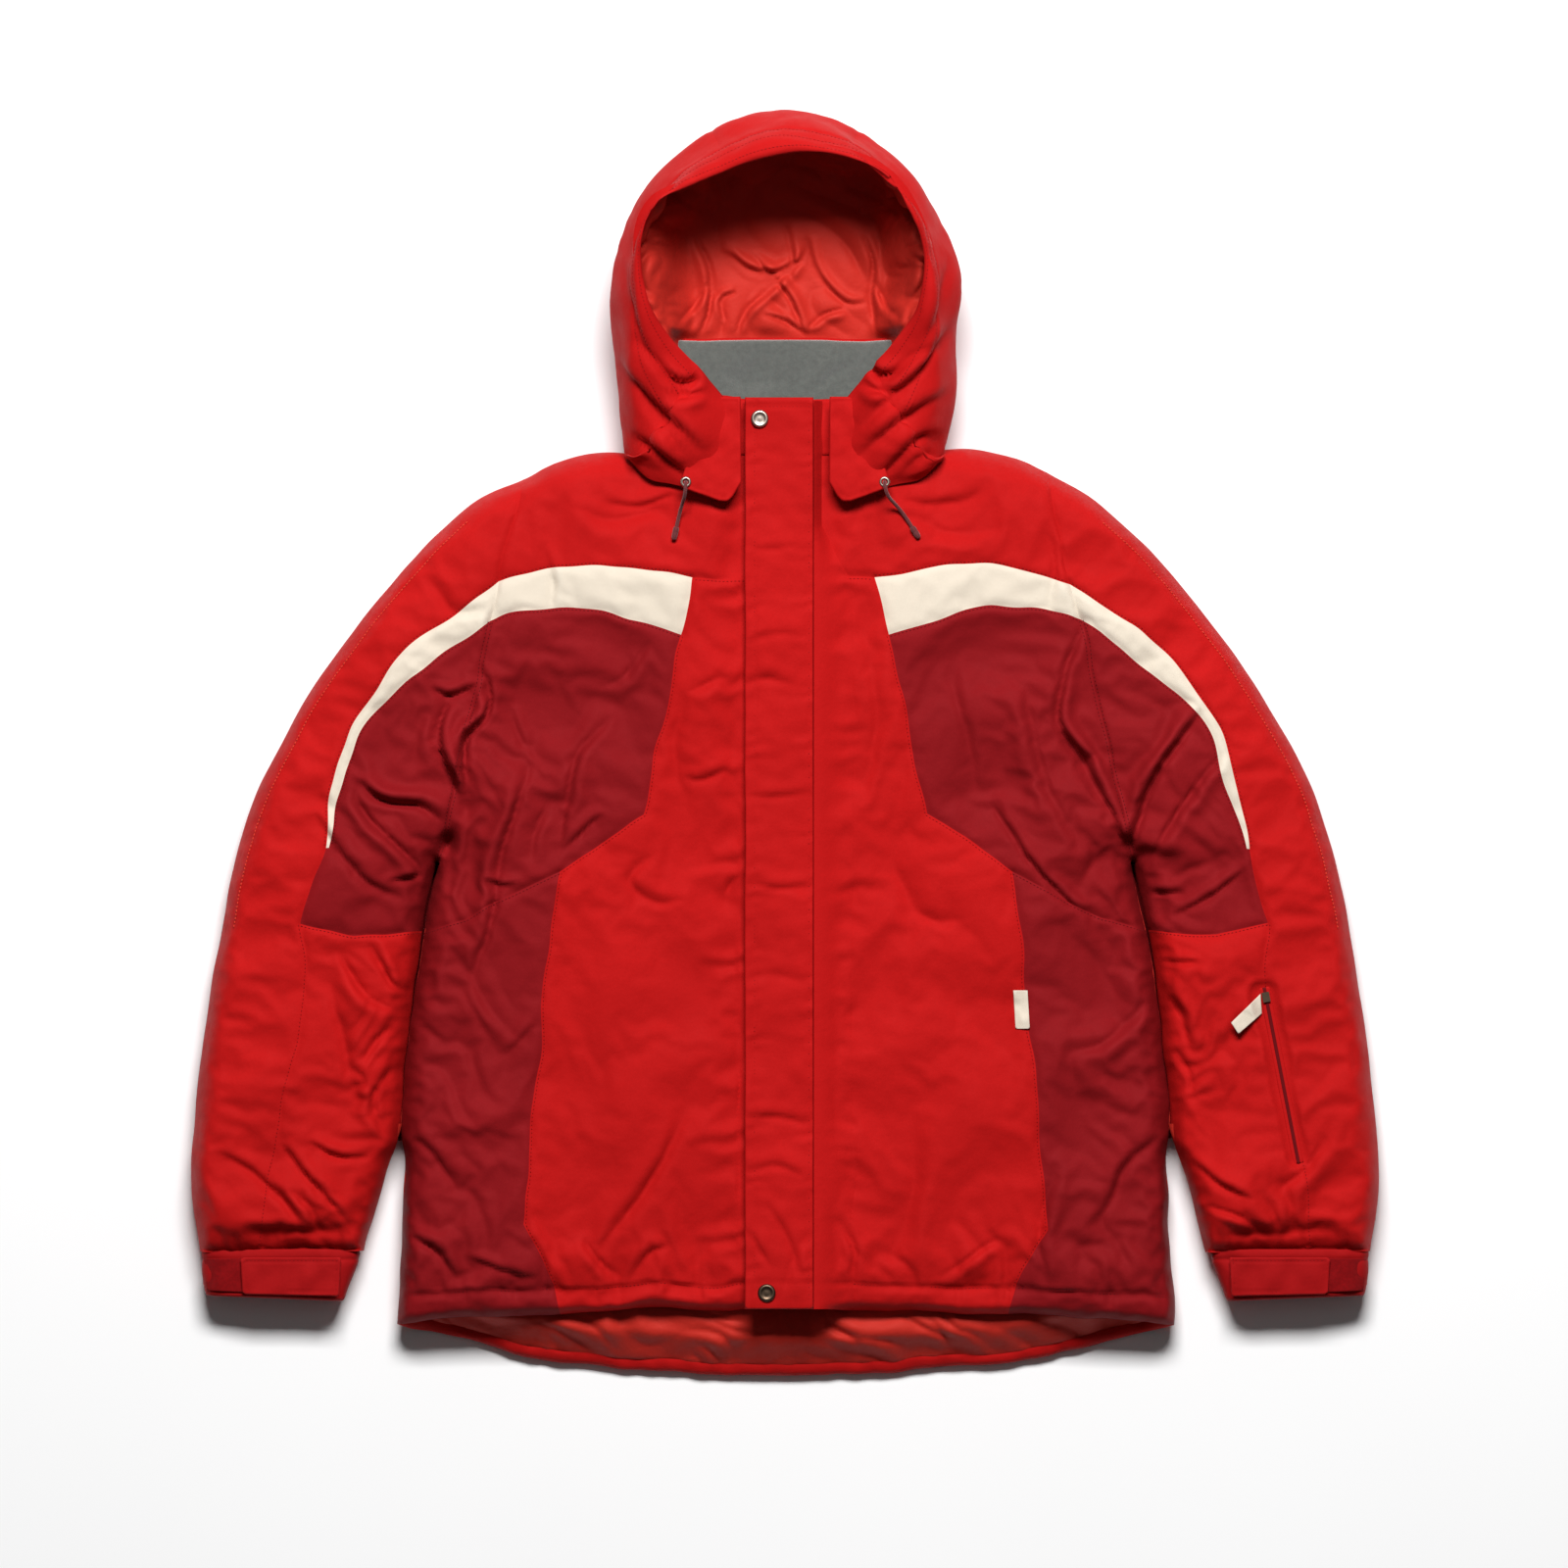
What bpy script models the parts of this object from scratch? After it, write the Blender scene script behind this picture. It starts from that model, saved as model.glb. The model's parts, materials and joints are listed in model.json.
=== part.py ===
"""An insulated, hooded ski jacket lying flat on its back, zipped up, sleeves beside the body.

Metres. +X is towards the wearer's left sleeve, +Y towards the hood, +Z out of the front.
The surface it lies on is z = 0, and the origin is the middle of the bounding box's base.
Both halves of the garment share the same seam lines, mirrored in X.
"""
import math

import bmesh
import bpy
from mathutils import Vector
from mathutils.geometry import delaunay_2d_cdt

GAP = 0.0002  # each sewn edge stands back this far from its seam line
CLEAR = 0.0004  # clearance between stacked layers
SHORTEST_EDGE = 0.0008  # points closer than this along an outline are one point
GRID = 0.034  # spacing of the points that carry a panel's dome

# Heights of the layers, from the floor up
BACK_SHELL = 0.006
BACK_LINING = 0.013
FRONT_LINING = 0.0346
FRONT_UNDERSIDE = 0.040
FRONT_EDGE = 0.045
FRONT_CROWN = 0.064
UNDER_FLAP = 0.060
FLAP_RAMP = (0.037, 0.067)  # the front rises from UNDER_FLAP to its crown between these distances in x
BODY_DOME = 0.100
SHOULDER_DOME = 0.050
SLEEVE_BACK = 0.012
SLEEVE_UNDERSIDE = 0.036
SLEEVE_EDGE = 0.041
SLEEVE_CROWN = 0.058
SLEEVE_DOME = 0.055
WALL = 0.007  # thickness of the padded walls that join each edge's front to its back
BODY_WALL_TOP = 0.0425
SLEEVE_WALL_TOP = 0.0385

# The neck seam and the fold lines
NECK_Y = 0.2490
HOOD_FOLD = Vector((0.0, 0.2500, 0.088))
SHOULDER_TIP = Vector((0.2265, 0.2345))
UNDERARM = Vector((0.3026, -0.1030))
SLEEVE_FOLD_Z = 0.070
FLAP_HINGE = Vector((0.0245, 0.0, 0.0725))

# Seam lines of the wearer's left half
SLEEVE_OUTER = [SHOULDER_TIP, (0.268, 0.2112), (0.323, 0.160), (0.385, 0.0837), (0.4335, 0.007),
                (0.468, -0.069), (0.491, -0.171), (0.5065, -0.273), (0.5155, -0.375), (0.5080, -0.4370)]
SLEEVE_INNER = [UNDERARM, (0.3170, -0.162), (0.3320, -0.290), (0.3370, -0.340), (0.3480, -0.375),
                (0.3640, -0.437)]
BODY_EDGE = [(0.2990, -0.1030), (0.3135, -0.171), (0.3280, -0.290), (0.3325, -0.375), (0.3360, -0.503)]
STRIPE_TOP = [(0.0786, 0.1424), (0.123, 0.1509), (0.170, 0.1551), (0.208, 0.1492), (0.2481, 0.1387)]
STRIPE_LOW = [(0.0897, 0.0952), (0.1275, 0.1075), (0.1785, 0.1177), (0.234, 0.1140), (0.2556, 0.1057)]
ARM_STRIPE_TOP = [(0.2481, 0.1387), (0.2975, 0.1041), (0.3315, 0.0778), (0.357, 0.0455), (0.378, 0.0115),
                  (0.3920, -0.040), (0.4010, -0.0905)]
ARM_STRIPE_LOW = [(0.2556, 0.1057), (0.289, 0.0829), (0.319, 0.059), (0.347, 0.037), (0.368, 0.0110),
                  (0.3830, -0.040), (0.3985, -0.0905)]
ELBOW_OUTER = (0.4180, -0.1560)
ELBOW_INNER_Y = -0.1620
FOREARM_SEAM = [ELBOW_OUTER, (0.4140, -0.195), (0.4225, -0.256), (0.4455, -0.367), (0.4560, -0.437)]
CHEST_SEAM = [(0.0897, 0.0952), (0.1233, -0.0608), (0.1976, -0.1118)]
SIDE_SEAM = [(0.1976, -0.1118), (0.205, -0.171), (0.2275, -0.418), (0.200, -0.469), (0.194, -0.4945)]
UNDERARM_SEAM = [(0.1976, -0.1118), (0.2754, -0.1520)]  # and on to the body's edge
UNDERARM_SEAM_END = -0.1620
FRONT_HEM_Y = -0.4900
BACK_HEM = [(0.3360, -0.503), (0.285, -0.517), (0.2125, -0.534), (0.098, -0.546), (0.0, -0.549)]
FLAG_TAB = [(0.1975, -0.2140), (0.2100, -0.2140), (0.2120, -0.2475), (0.1995, -0.2475)]

# Collar and the hood's front ends
COLLAR_BACK = [(-0.078, 0.2515), (0.078, 0.2515), (0.0914, 0.3510), (-0.0914, 0.3510)]
COLLAR_FLEECE = [(-0.074, 0.2535), (0.074, 0.2535), (0.0880, 0.3480), (-0.0880, 0.3480)]
COLLAR_BACK_Z = (0.0136, 0.0190)
COLLAR_FLEECE_Z = (0.0194, 0.0255)
COLLAR_FRONT_LOW = 0.0520
COLLAR_FRONT_Y = (0.2515, 0.2975)
THROAT_FLAP_Z = (0.0710, 0.0800)

# Cuffs: the inner side's y, the two sides' x and the outer side's y of each station
CUFF_STATIONS = [(-0.4376, 0.3690, 0.5060, -0.4376), (-0.4600, 0.3755, 0.5055, -0.4600),
                 (-0.4820, 0.3825, 0.5030, -0.4780)]
CUFF_HEIGHT = 0.044
CUFF_THICKNESS = 0.008
CUFF_RADIUS = 0.020
PATCH_BOX = (0.4450, 0.4880, -0.4720, -0.4430)
PATCH_Z = (0.0444, 0.0456)
TAB_HINGE = Vector((0.3920, -0.4580, 0.0494))
TAB_END = Vector((0.4560, -0.4580))
TAB_HALF = 0.0120
TAB_Z = (0.0460, 0.0490)

# The wearer's left sleeve pocket
POCKET_TOP = Vector((0.4157, -0.2155))
POCKET_END = Vector((0.4440, -0.3600))
POCKET_TAB = [(0.4118, -0.2170), (0.3860, -0.2420), (0.3925, -0.2520), (0.4118, -0.2330)]

# Zip and storm flap
FRONT_OPENING = 0.0125  # from the centre line to each front edge
ZIP_TOP = 0.2900
ZIP_END = -0.4800
TAPE_Z = (0.0495, 0.0515)
ZIP_Z = 0.0510
TEETH_Z = (0.0490, 0.0530)
TEETH_X = (0.0016, 0.0045)
FLAP_X = (-0.0350, 0.0245)
FLAP_Y = (-0.4900, 0.2995)
FLAP_Z = (0.0660, 0.0720)
SNAPS = {"top": (-0.0220, 0.2810), "bottom": (-0.0160, -0.4760)}
SNAP_RADIUS = 0.0078
SNAP_STEM = 0.0024
SLIDER_Y = (0.2740, 0.2860)
PULL_Z = (0.0554, 0.0572)

# Hood
HOOD_CENTRE_Y = 0.390
HOOD_HALF_WIDTH = 0.1510
HOOD_DEPTH = 0.1590
HOOD_THICKNESS = 0.005
HOOD_ARC = 0.72  # this much of each half is the round crown, and the rest is the side of the neck
HOOD_SECTIONS = ((0.060, 0.0750, 70.0), (0.055, 0.0650, 60.0), (0.045, 0.0420, 75.0))
CENTRE_PANEL_TURN = 0.2296  # the seam between the centre panel and each side panel
BRIM_SEAM = 0.80
LINING_RIM = 0.76
LINING_INSET = 0.0085
LINING_THICKNESS = 0.003

# Drawcords
CORD_RADIUS = 0.0015
EYELET = (0.0860, 0.2262, 0.0804)

SHELL_RED = (192, 32, 32)
SHELL_DARK = (146, 33, 36)
CREAM = (247, 234, 216)
FLEECE = (102, 103, 98)
LINING_RED = (176, 46, 38)
CUFF_RED = (165, 27, 29)
HOOK_RED = (142, 12, 17)
PALE_METAL = (223, 199, 184)
DARK_METAL = (97, 75, 59)
CORD_RED = (120, 22, 24)


# ---------------------------------------------------------------- materials

def linear(channel):
    """One 8-bit display channel as a linear value."""
    value = channel / 255
    return value / 12.92 if value <= 0.04045 else ((value + 0.055) / 1.055) ** 2.4


def material(name, colour, roughness=0.6, metallic=0.0):
    found = bpy.data.materials.get(name)
    if found:
        return found
    made = bpy.data.materials.new(name)
    made.use_nodes = True
    shader = made.node_tree.nodes["Principled BSDF"]
    shader.inputs["Base Color"].default_value = (*[linear(c) for c in colour], 1.0)
    shader.inputs["Roughness"].default_value = roughness
    shader.inputs["Metallic"].default_value = metallic
    return made


def red_shell():
    return material("red_shell", SHELL_RED, 0.62)


def dark_shell():
    return material("dark_shell", SHELL_DARK, 0.62)


def cream_fabric():
    return material("cream_fabric", CREAM, 0.55)


def lining_fabric():
    return material("lining_fabric", LINING_RED, 0.38)


def fleece_fabric():
    return material("fleece", FLEECE, 0.95)


def cuff_fabric():
    return material("cuff_fabric", CUFF_RED, 0.65)


def hook_fabric():
    return material("hook_and_loop", HOOK_RED, 0.9)


def pale_metal():
    return material("pale_metal", PALE_METAL, 0.3, 1.0)


def dark_metal():
    return material("dark_metal", DARK_METAL, 0.35, 1.0)


def cord_fabric():
    return material("cord", CORD_RED, 0.7)


# ---------------------------------------------------------------- outlines

def smooth(points, steps=3):
    """A Catmull-Rom curve through the points, with its ends kept."""
    line = [Vector(p) for p in points]
    ends = [2 * line[0] - line[1], *line, 2 * line[-1] - line[-2]]
    made = []
    for a, b, c, d in zip(ends, ends[1:], ends[2:], ends[3:]):
        for k in range(steps):
            t = k / steps
            made.append(0.5 * (2 * b + (c - a) * t + (2 * a - 5 * b + 4 * c - d) * t * t
                               + (3 * b - a - 3 * c + d) * t ** 3))
    made.append(line[-1])
    return made


def straight(points):
    return [Vector((p[0], p[1])) for p in points]


def at_height(line, y):
    """The point where a line that runs down in y reaches y, or its nearer end."""
    for a, b in zip(line, line[1:]):
        if b.y <= y <= a.y:
            return a.lerp(b, (a.y - y) / (a.y - b.y))
    return line[0] if y > line[0].y else line[-1]


def part_of(line, low, high):
    """The stretch of a line between two heights in y, top first, with its ends cut exactly there."""
    between = [p for p in line if low + 1e-4 < p.y < high - 1e-4]
    return [at_height(line, high), *between, at_height(line, low)]


def joined(*lines):
    """Lines end to end as one outline, without the points that repeat."""
    outline = []
    for line in lines:
        for p in line:
            if not outline or (p - outline[-1]).length > SHORTEST_EDGE:
                outline.append(Vector((p[0], p[1])))
    if (outline[0] - outline[-1]).length < SHORTEST_EDGE:
        outline.pop()
    return outline


def area(outline):
    return sum(a.x * b.y - b.x * a.y for a, b in zip(outline, outline[1:] + outline[:1])) / 2


def anticlockwise(outline):
    return outline if area(outline) > 0 else outline[::-1]


def inset(outline, distance):
    """The outline moved inwards by distance, corner by corner."""
    outline = anticlockwise(outline)
    made = []
    for i, p in enumerate(outline):
        before = (p - outline[i - 1]).normalized()
        after = (outline[(i + 1) % len(outline)] - p).normalized()
        left = Vector((-before.y, before.x)) + Vector((-after.y, after.x))
        left.normalize()
        spread = max(0.35, left.dot(Vector((-after.y, after.x))))
        made.append(p + left * distance / spread)
    return made


def mirrored(outline, side):
    """side is 1 for the wearer's left, the half in which the seams are drawn, and -1 for the right."""
    return [Vector((p.x * side, p.y)) for p in outline]


def distance(p, line):
    """From a point to a line of points."""
    best = 1e9
    for a, b in zip(line, line[1:]):
        run = b - a
        t = max(0.0, min(1.0, (p - a).dot(run) / run.length_squared))
        best = min(best, (p - a - run * t).length)
    return best


def inside(p, outline):
    hit = False
    for a, b in zip(outline, outline[1:] + outline[:1]):
        if (a.y > p.y) != (b.y > p.y) and p.x < (b.x - a.x) * (p.y - a.y) / (b.y - a.y) + a.x:
            hit = not hit
    return hit


# ---------------------------------------------------------------- solids

def finish(name, mesh_data, made_of, parent=None, smooth_angle=None):
    """Closes a bmesh into a named object with outward faces."""
    bmesh.ops.remove_doubles(mesh_data, verts=mesh_data.verts, dist=1e-6)
    bmesh.ops.recalc_face_normals(mesh_data, faces=mesh_data.faces)
    mesh = bpy.data.meshes.new(name)
    mesh_data.to_mesh(mesh)
    mesh_data.free()
    mesh.materials.append(made_of)
    if smooth_angle:
        mesh.shade_smooth()
        mesh.set_sharp_from_angle(angle=math.radians(smooth_angle))
    made = bpy.data.objects.new(name, mesh)
    bpy.context.scene.collection.objects.link(made)
    if parent:
        made.parent = parent
        made.matrix_parent_inverse = parent.matrix_world.inverted()
    return made


def triangles_in(outline, spacing):
    """A triangulation of the outline's inside, with a grid of points when spacing is given."""
    points = list(outline)
    if spacing:
        low = Vector((min(p.x for p in outline), min(p.y for p in outline)))
        high = Vector((max(p.x for p in outline), max(p.y for p in outline)))
        closed = outline + outline[:1]
        rows = int((high.y - low.y) / spacing) + 1
        columns = int((high.x - low.x) / spacing) + 2
        for row in range(rows + 1):
            for column in range(columns + 1):
                offset = 0.5 if row % 2 else 0.0
                p = low + Vector(((column + offset) * spacing, row * spacing))
                if inside(p, outline) and distance(p, closed) > 0.4 * spacing:
                    points.append(p)
    face = list(range(len(outline)))
    result = delaunay_2d_cdt(points, [], [face], 1, 1e-7)
    return result[0], result[2]


def panel(name, outline, underside, top, made_of, parent=None, spacing=GRID):
    """A sewn panel: flat underside, and a top surface whose height is a function of the place."""
    outline = inset(outline, GAP)
    mesh_data = bmesh.new()
    upper, upper_faces = triangles_in(outline, spacing)
    lower, lower_faces = triangles_in(outline, None)
    top_verts = [mesh_data.verts.new((p.x, p.y, top(p))) for p in upper]
    low_verts = [mesh_data.verts.new((p.x, p.y, underside)) for p in lower]
    for face in upper_faces:
        mesh_data.faces.new([top_verts[i] for i in face])
    for face in lower_faces:
        mesh_data.faces.new([low_verts[i] for i in reversed(face)])
    count = len(outline)
    for i in range(count):
        j = (i + 1) % count
        mesh_data.faces.new((top_verts[i], low_verts[i], low_verts[j], top_verts[j]))
    return finish(name, mesh_data, made_of, parent, 40)


def flat(height):
    return lambda p: height


def strip(line, thickness, low, high, towards, parent):
    """A helper solid: a wall along a line, thickened towards the side that holds a given point."""
    shift = 0.0003
    end_gap = 0.0006
    edges = []
    for offset in (shift, thickness):
        moved = []
        for i, p in enumerate(line):
            run = (line[min(i + 1, len(line) - 1)] - line[max(i - 1, 0)]).normalized()
            side = Vector((-run.y, run.x))
            if side.dot(towards - p) < 0:
                side = -side
            moved.append(p + side * offset)
        edges.append(moved)
    for moved in edges:
        moved[0] = moved[0].lerp(moved[1], end_gap / (moved[1] - moved[0]).length)
        moved[-1] = moved[-1].lerp(moved[-2], end_gap / (moved[-1] - moved[-2]).length)
    outline = anticlockwise(edges[0] + edges[1][::-1])
    mesh_data = bmesh.new()
    lower = [mesh_data.verts.new((p.x, p.y, low)) for p in outline]
    upper = [mesh_data.verts.new((p.x, p.y, high)) for p in outline]
    mesh_data.faces.new(lower[::-1])
    mesh_data.faces.new(upper)
    count = len(outline)
    for i in range(count):
        j = (i + 1) % count
        mesh_data.faces.new((lower[i], lower[j], upper[j], upper[i]))
    bmesh.ops.triangulate(mesh_data, faces=[f for f in mesh_data.faces if len(f.verts) > 4])
    return finish("helper", mesh_data, red_shell(), parent)


def combine(target, helper, operation):
    """Joins a helper to the target, or cuts it away, with a Boolean that stays on the object."""
    helper.hide_render = True
    helper.display_type = "WIRE"
    made = target.modifiers.new(operation.lower(), "BOOLEAN")
    made.operation = operation
    made.solver = "EXACT"
    made.object = helper
    return target


def body_wall(made, line, side, towards):
    """Adds a panel's share of the padded wall along the body's side."""
    wall = strip(mirrored(line, side), WALL, BACK_SHELL + CLEAR, BODY_WALL_TOP, towards, None)
    return combine(made, wall, "UNION")


def sleeve_wall(made, line, side, towards, parent):
    """Adds a panel's share of the padded wall along the sleeve's side."""
    wall = strip(mirrored(line, side), WALL, SLEEVE_BACK + CLEAR, SLEEVE_WALL_TOP, towards, parent)
    return combine(made, wall, "UNION")


def prism(name, outline, low, high, made_of, parent=None):
    """A flat piece with straight sides."""
    return panel(name, outline, low, flat(high), made_of, parent, None)


def box_outline(x0, x1, y0, y1):
    return [Vector((x0, y0)), Vector((x1, y0)), Vector((x1, y1)), Vector((x0, y1))]


def circle(centre, radius, count=16):
    turn = 2 * math.pi / count
    return [Vector((centre[0] + radius * math.cos(i * turn), centre[1] + radius * math.sin(i * turn)))
            for i in range(count)]


def turned(name, centre, profile, made_of, parent=None, count=20):
    """A round piece about a vertical axis; profile is a loop of (radius, z), or runs axis to axis."""
    mesh_data = bmesh.new()
    rings = []
    for radius, z in profile:
        if radius < 1e-7:
            rings.append([mesh_data.verts.new((centre[0], centre[1], z))])
        else:
            rings.append([mesh_data.verts.new((p.x, p.y, z)) for p in circle(centre, radius, count)])
    closed = len(rings[0]) > 1
    pairs = list(zip(rings, rings[1:] + (rings[:1] if closed else [])))
    for a, b in pairs:
        for i in range(count):
            j = (i + 1) % count
            if len(a) == 1 and len(b) > 1:
                mesh_data.faces.new((a[0], b[i], b[j]))
            elif len(b) == 1 and len(a) > 1:
                mesh_data.faces.new((a[i], b[0], a[j]))
            elif len(a) > 1 and len(b) > 1:
                mesh_data.faces.new((a[i], b[i], b[j], a[j]))
    return finish(name, mesh_data, made_of, parent, 35)


def skinned(name, loops, made_of, parent=None, smooth_angle=35):
    """A solid skinned over closed loops of points, capped at both ends."""
    mesh_data = bmesh.new()
    rings = [[mesh_data.verts.new(p) for p in loop] for loop in loops]
    count = len(loops[0])
    for a, b in zip(rings, rings[1:]):
        for i in range(count):
            j = (i + 1) % count
            mesh_data.faces.new((a[i], b[i], b[j], a[j]))
    mesh_data.faces.new(rings[0])
    mesh_data.faces.new(rings[-1][::-1])
    caps = [f for f in mesh_data.faces if len(f.verts) > 4]
    bmesh.ops.triangulate(mesh_data, faces=caps)
    return finish(name, mesh_data, made_of, parent, smooth_angle)


def bar(name, section, y0, y1, made_of, parent=None):
    """A straight bar along Y whose section in X and Z may be hollowed at its sides."""
    outline = anticlockwise([Vector(p) for p in section])
    points, faces = triangles_in(outline, None)
    mesh_data = bmesh.new()
    near = [mesh_data.verts.new((p.x, y0, p.y)) for p in points]
    far = [mesh_data.verts.new((p.x, y1, p.y)) for p in points]
    for face in faces:
        mesh_data.faces.new([near[i] for i in face])
        mesh_data.faces.new([far[i] for i in reversed(face)])
    count = len(outline)
    for i in range(count):
        j = (i + 1) % count
        mesh_data.faces.new((near[i], far[i], far[j], near[j]))
    return finish(name, mesh_data, made_of, parent, 35)


# ---------------------------------------------------------------- shared shapes

def armhole(low, high):
    """The armhole seam between two values of y, on the line from the shoulder tip to the underarm."""
    def at(y):
        t = (SHOULDER_TIP.y - y) / (SHOULDER_TIP.y - UNDERARM.y)
        return SHOULDER_TIP.lerp(UNDERARM, t)
    return [at(high), at(low)]


def shoulder_line():
    return smooth([(0.1385, NECK_Y), (0.1980, 0.2452), SHOULDER_TIP], 2)


def dome(p, line, edge, crown, reach):
    """A pillow's height: edge on the line, rising as a quarter round to the crown."""
    t = min(1.0, distance(Vector((abs(p.x), p.y)), line) / reach)
    return edge + (crown - edge) * math.sqrt(max(0.0, 1 - (1 - t) ** 2))


def body_height(p):
    """The front's top surface, lower under the storm flap."""
    high = dome(p, smooth(BODY_EDGE), FRONT_EDGE, FRONT_CROWN, BODY_DOME)
    high = min(high, dome(p, shoulder_line(), FRONT_EDGE, FRONT_CROWN, SHOULDER_DOME))
    ramp = max(0.0, min(1.0, (abs(p.x) - FLAP_RAMP[0]) / (FLAP_RAMP[1] - FLAP_RAMP[0])))
    return min(high, UNDER_FLAP + (FRONT_CROWN - UNDER_FLAP) * ramp)


def sleeve_height(p):
    outer = dome(p, smooth(SLEEVE_OUTER), SLEEVE_EDGE, SLEEVE_CROWN, SLEEVE_DOME)
    inner = dome(p, smooth(SLEEVE_INNER), SLEEVE_EDGE, SLEEVE_CROWN, SLEEVE_DOME)
    return min(outer, inner)


def underarm_seam():
    return [*straight(UNDERARM_SEAM), at_height(smooth(BODY_EDGE), UNDERARM_SEAM_END)]


def side_name(side):
    return "left" if side == 1 else "right"


# ---------------------------------------------------------------- body

def front_yoke(side):
    outline = joined(
        straight([(FRONT_OPENING, NECK_Y), (FRONT_OPENING, STRIPE_TOP[0][1]), STRIPE_TOP[0]]),
        smooth(STRIPE_TOP), armhole(STRIPE_TOP[-1][1], SHOULDER_TIP.y)[::-1],
        shoulder_line()[::-1])
    made = panel(side_name(side) + "_front_yoke", mirrored(outline, side), FRONT_UNDERSIDE,
                 body_height, red_shell())
    return body_wall(made, shoulder_line(), side, Vector((0.18 * side, 0.1)))


def chest_stripe(side):
    outline = joined(smooth(STRIPE_TOP), smooth(STRIPE_LOW)[::-1])
    return panel(side_name(side) + "_chest_stripe", mirrored(outline, side), FRONT_UNDERSIDE,
                 body_height, cream_fabric())


def chest_panel(side):
    outline = joined(smooth(STRIPE_LOW), armhole(UNDERARM.y, STRIPE_LOW[-1][1]),
                     part_of(smooth(BODY_EDGE), UNDERARM_SEAM_END, UNDERARM.y),
                     underarm_seam()[::-1], straight(CHEST_SEAM)[::-1])
    made = panel(side_name(side) + "_chest_panel", mirrored(outline, side), FRONT_UNDERSIDE,
                 body_height, dark_shell())
    edge = part_of(smooth(BODY_EDGE), UNDERARM_SEAM_END + 0.004, UNDERARM.y - 0.001)
    return body_wall(made, edge, side, Vector((0, -0.13)))


def front_panel(side):
    outline = joined(straight([(FRONT_OPENING, STRIPE_TOP[0][1]), STRIPE_TOP[0]]), straight(CHEST_SEAM),
                     straight(SIDE_SEAM), straight([(FRONT_OPENING, FRONT_HEM_Y)]))
    return panel(side_name(side) + "_front_panel", mirrored(outline, side), FRONT_UNDERSIDE,
                 body_height, red_shell())


def side_panel(side):
    outline = joined(underarm_seam(), part_of(smooth(BODY_EDGE), -0.503, UNDERARM_SEAM_END),
                     straight(SIDE_SEAM)[::-1])
    made = panel(side_name(side) + "_side_panel", mirrored(outline, side), FRONT_UNDERSIDE,
                 body_height, dark_shell())
    edge = part_of(smooth(BODY_EDGE), -0.5020, UNDERARM_SEAM_END - 0.001)
    return body_wall(made, edge, side, Vector((0, -0.3)))


def half_body(neck_x, margin):
    """The left half of the body's outline from the neck to the side hem, drawn in by margin."""
    drop = 1.3 * margin
    side = [p - Vector((margin, 0)) for p in smooth(BODY_EDGE)]
    shoulder = [p - Vector((0, drop)) for p in shoulder_line() if p.x > neck_x]
    tip, arm = armhole(UNDERARM.y, SHOULDER_TIP.y - drop)
    return joined([Vector((neck_x, NECK_Y - drop))], shoulder[:-1], [tip, arm], side)


def back_panel():
    half = half_body(0.138, 0.0)
    hem = smooth(BACK_HEM)
    right_side = joined(half, hem)
    outline = joined(right_side, mirrored(right_side[::-1], -1))
    return prism("back_panel", outline, 0.0, BACK_SHELL, red_shell())


def back_lining():
    half = half_body(0.120, 0.008)
    hem = [Vector((p.x, p.y + 0.006)) for p in smooth(BACK_HEM) if p.x < 0.32]
    right_side = joined(half, hem)
    outline = joined(right_side, mirrored(right_side[::-1], -1))
    return prism("back_lining", outline, BACK_SHELL + CLEAR, BACK_LINING, lining_fabric())


def front_lining(side):
    half = half_body(FRONT_OPENING, 0.008)
    outline = joined(half, straight([(FRONT_OPENING, FRONT_HEM_Y)]))
    return prism(side_name(side) + "_front_lining", mirrored(outline, side), FRONT_LINING,
                 FRONT_UNDERSIDE - CLEAR, lining_fabric())


def flag_tab():
    """A sewn fabric tab that marks the end of the wearer's left pocket, on the side seam."""
    return prism("pocket_flag_tab", straight(FLAG_TAB), FRONT_CROWN + 0.0005, FRONT_CROWN + 0.0020,
                 cream_fabric())


def collar_front(side):
    outline = straight([(FRONT_OPENING, COLLAR_FRONT_Y[0]), (0.0740, COLLAR_FRONT_Y[0]),
                        (0.0580, COLLAR_FRONT_Y[1]), (FRONT_OPENING, COLLAR_FRONT_Y[1])])
    return prism(side_name(side) + "_collar_front", mirrored(outline, side), COLLAR_FRONT_LOW,
                 UNDER_FLAP, red_shell())


def throat_flap(side):
    """The hood's front end, sewn down over the collar beside the storm flap."""
    outline = joined(straight([(0.0380, 0.3050), (0.0370, 0.2250), (0.0520, 0.2085)]),
                     smooth([(0.0520, 0.2085), (0.0880, 0.2190), (0.0945, 0.2350)], 2),
                     straight([(0.0935, 0.2900), (0.0750, 0.3050)]))
    return prism(side_name(side) + "_throat_flap", mirrored(outline, side), *THROAT_FLAP_Z, red_shell())


# ---------------------------------------------------------------- zip, flap and snaps

def zip_tape(side):
    """A tape with a bead of teeth along its inner edge."""
    x0, x1 = TEETH_X
    tape = FRONT_OPENING - CLEAR
    section = [(x0, TEETH_Z[0]), (x1, TEETH_Z[0]), (x1, TAPE_Z[0]), (tape, TAPE_Z[0]),
               (tape, TAPE_Z[1]), (x1, TAPE_Z[1]), (x1, TEETH_Z[1]), (x0, TEETH_Z[1])]
    section = [(x * side, z) for x, z in section]
    return bar(side_name(side) + "_zip_tape", section, ZIP_END, ZIP_TOP, cord_fabric())


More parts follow.
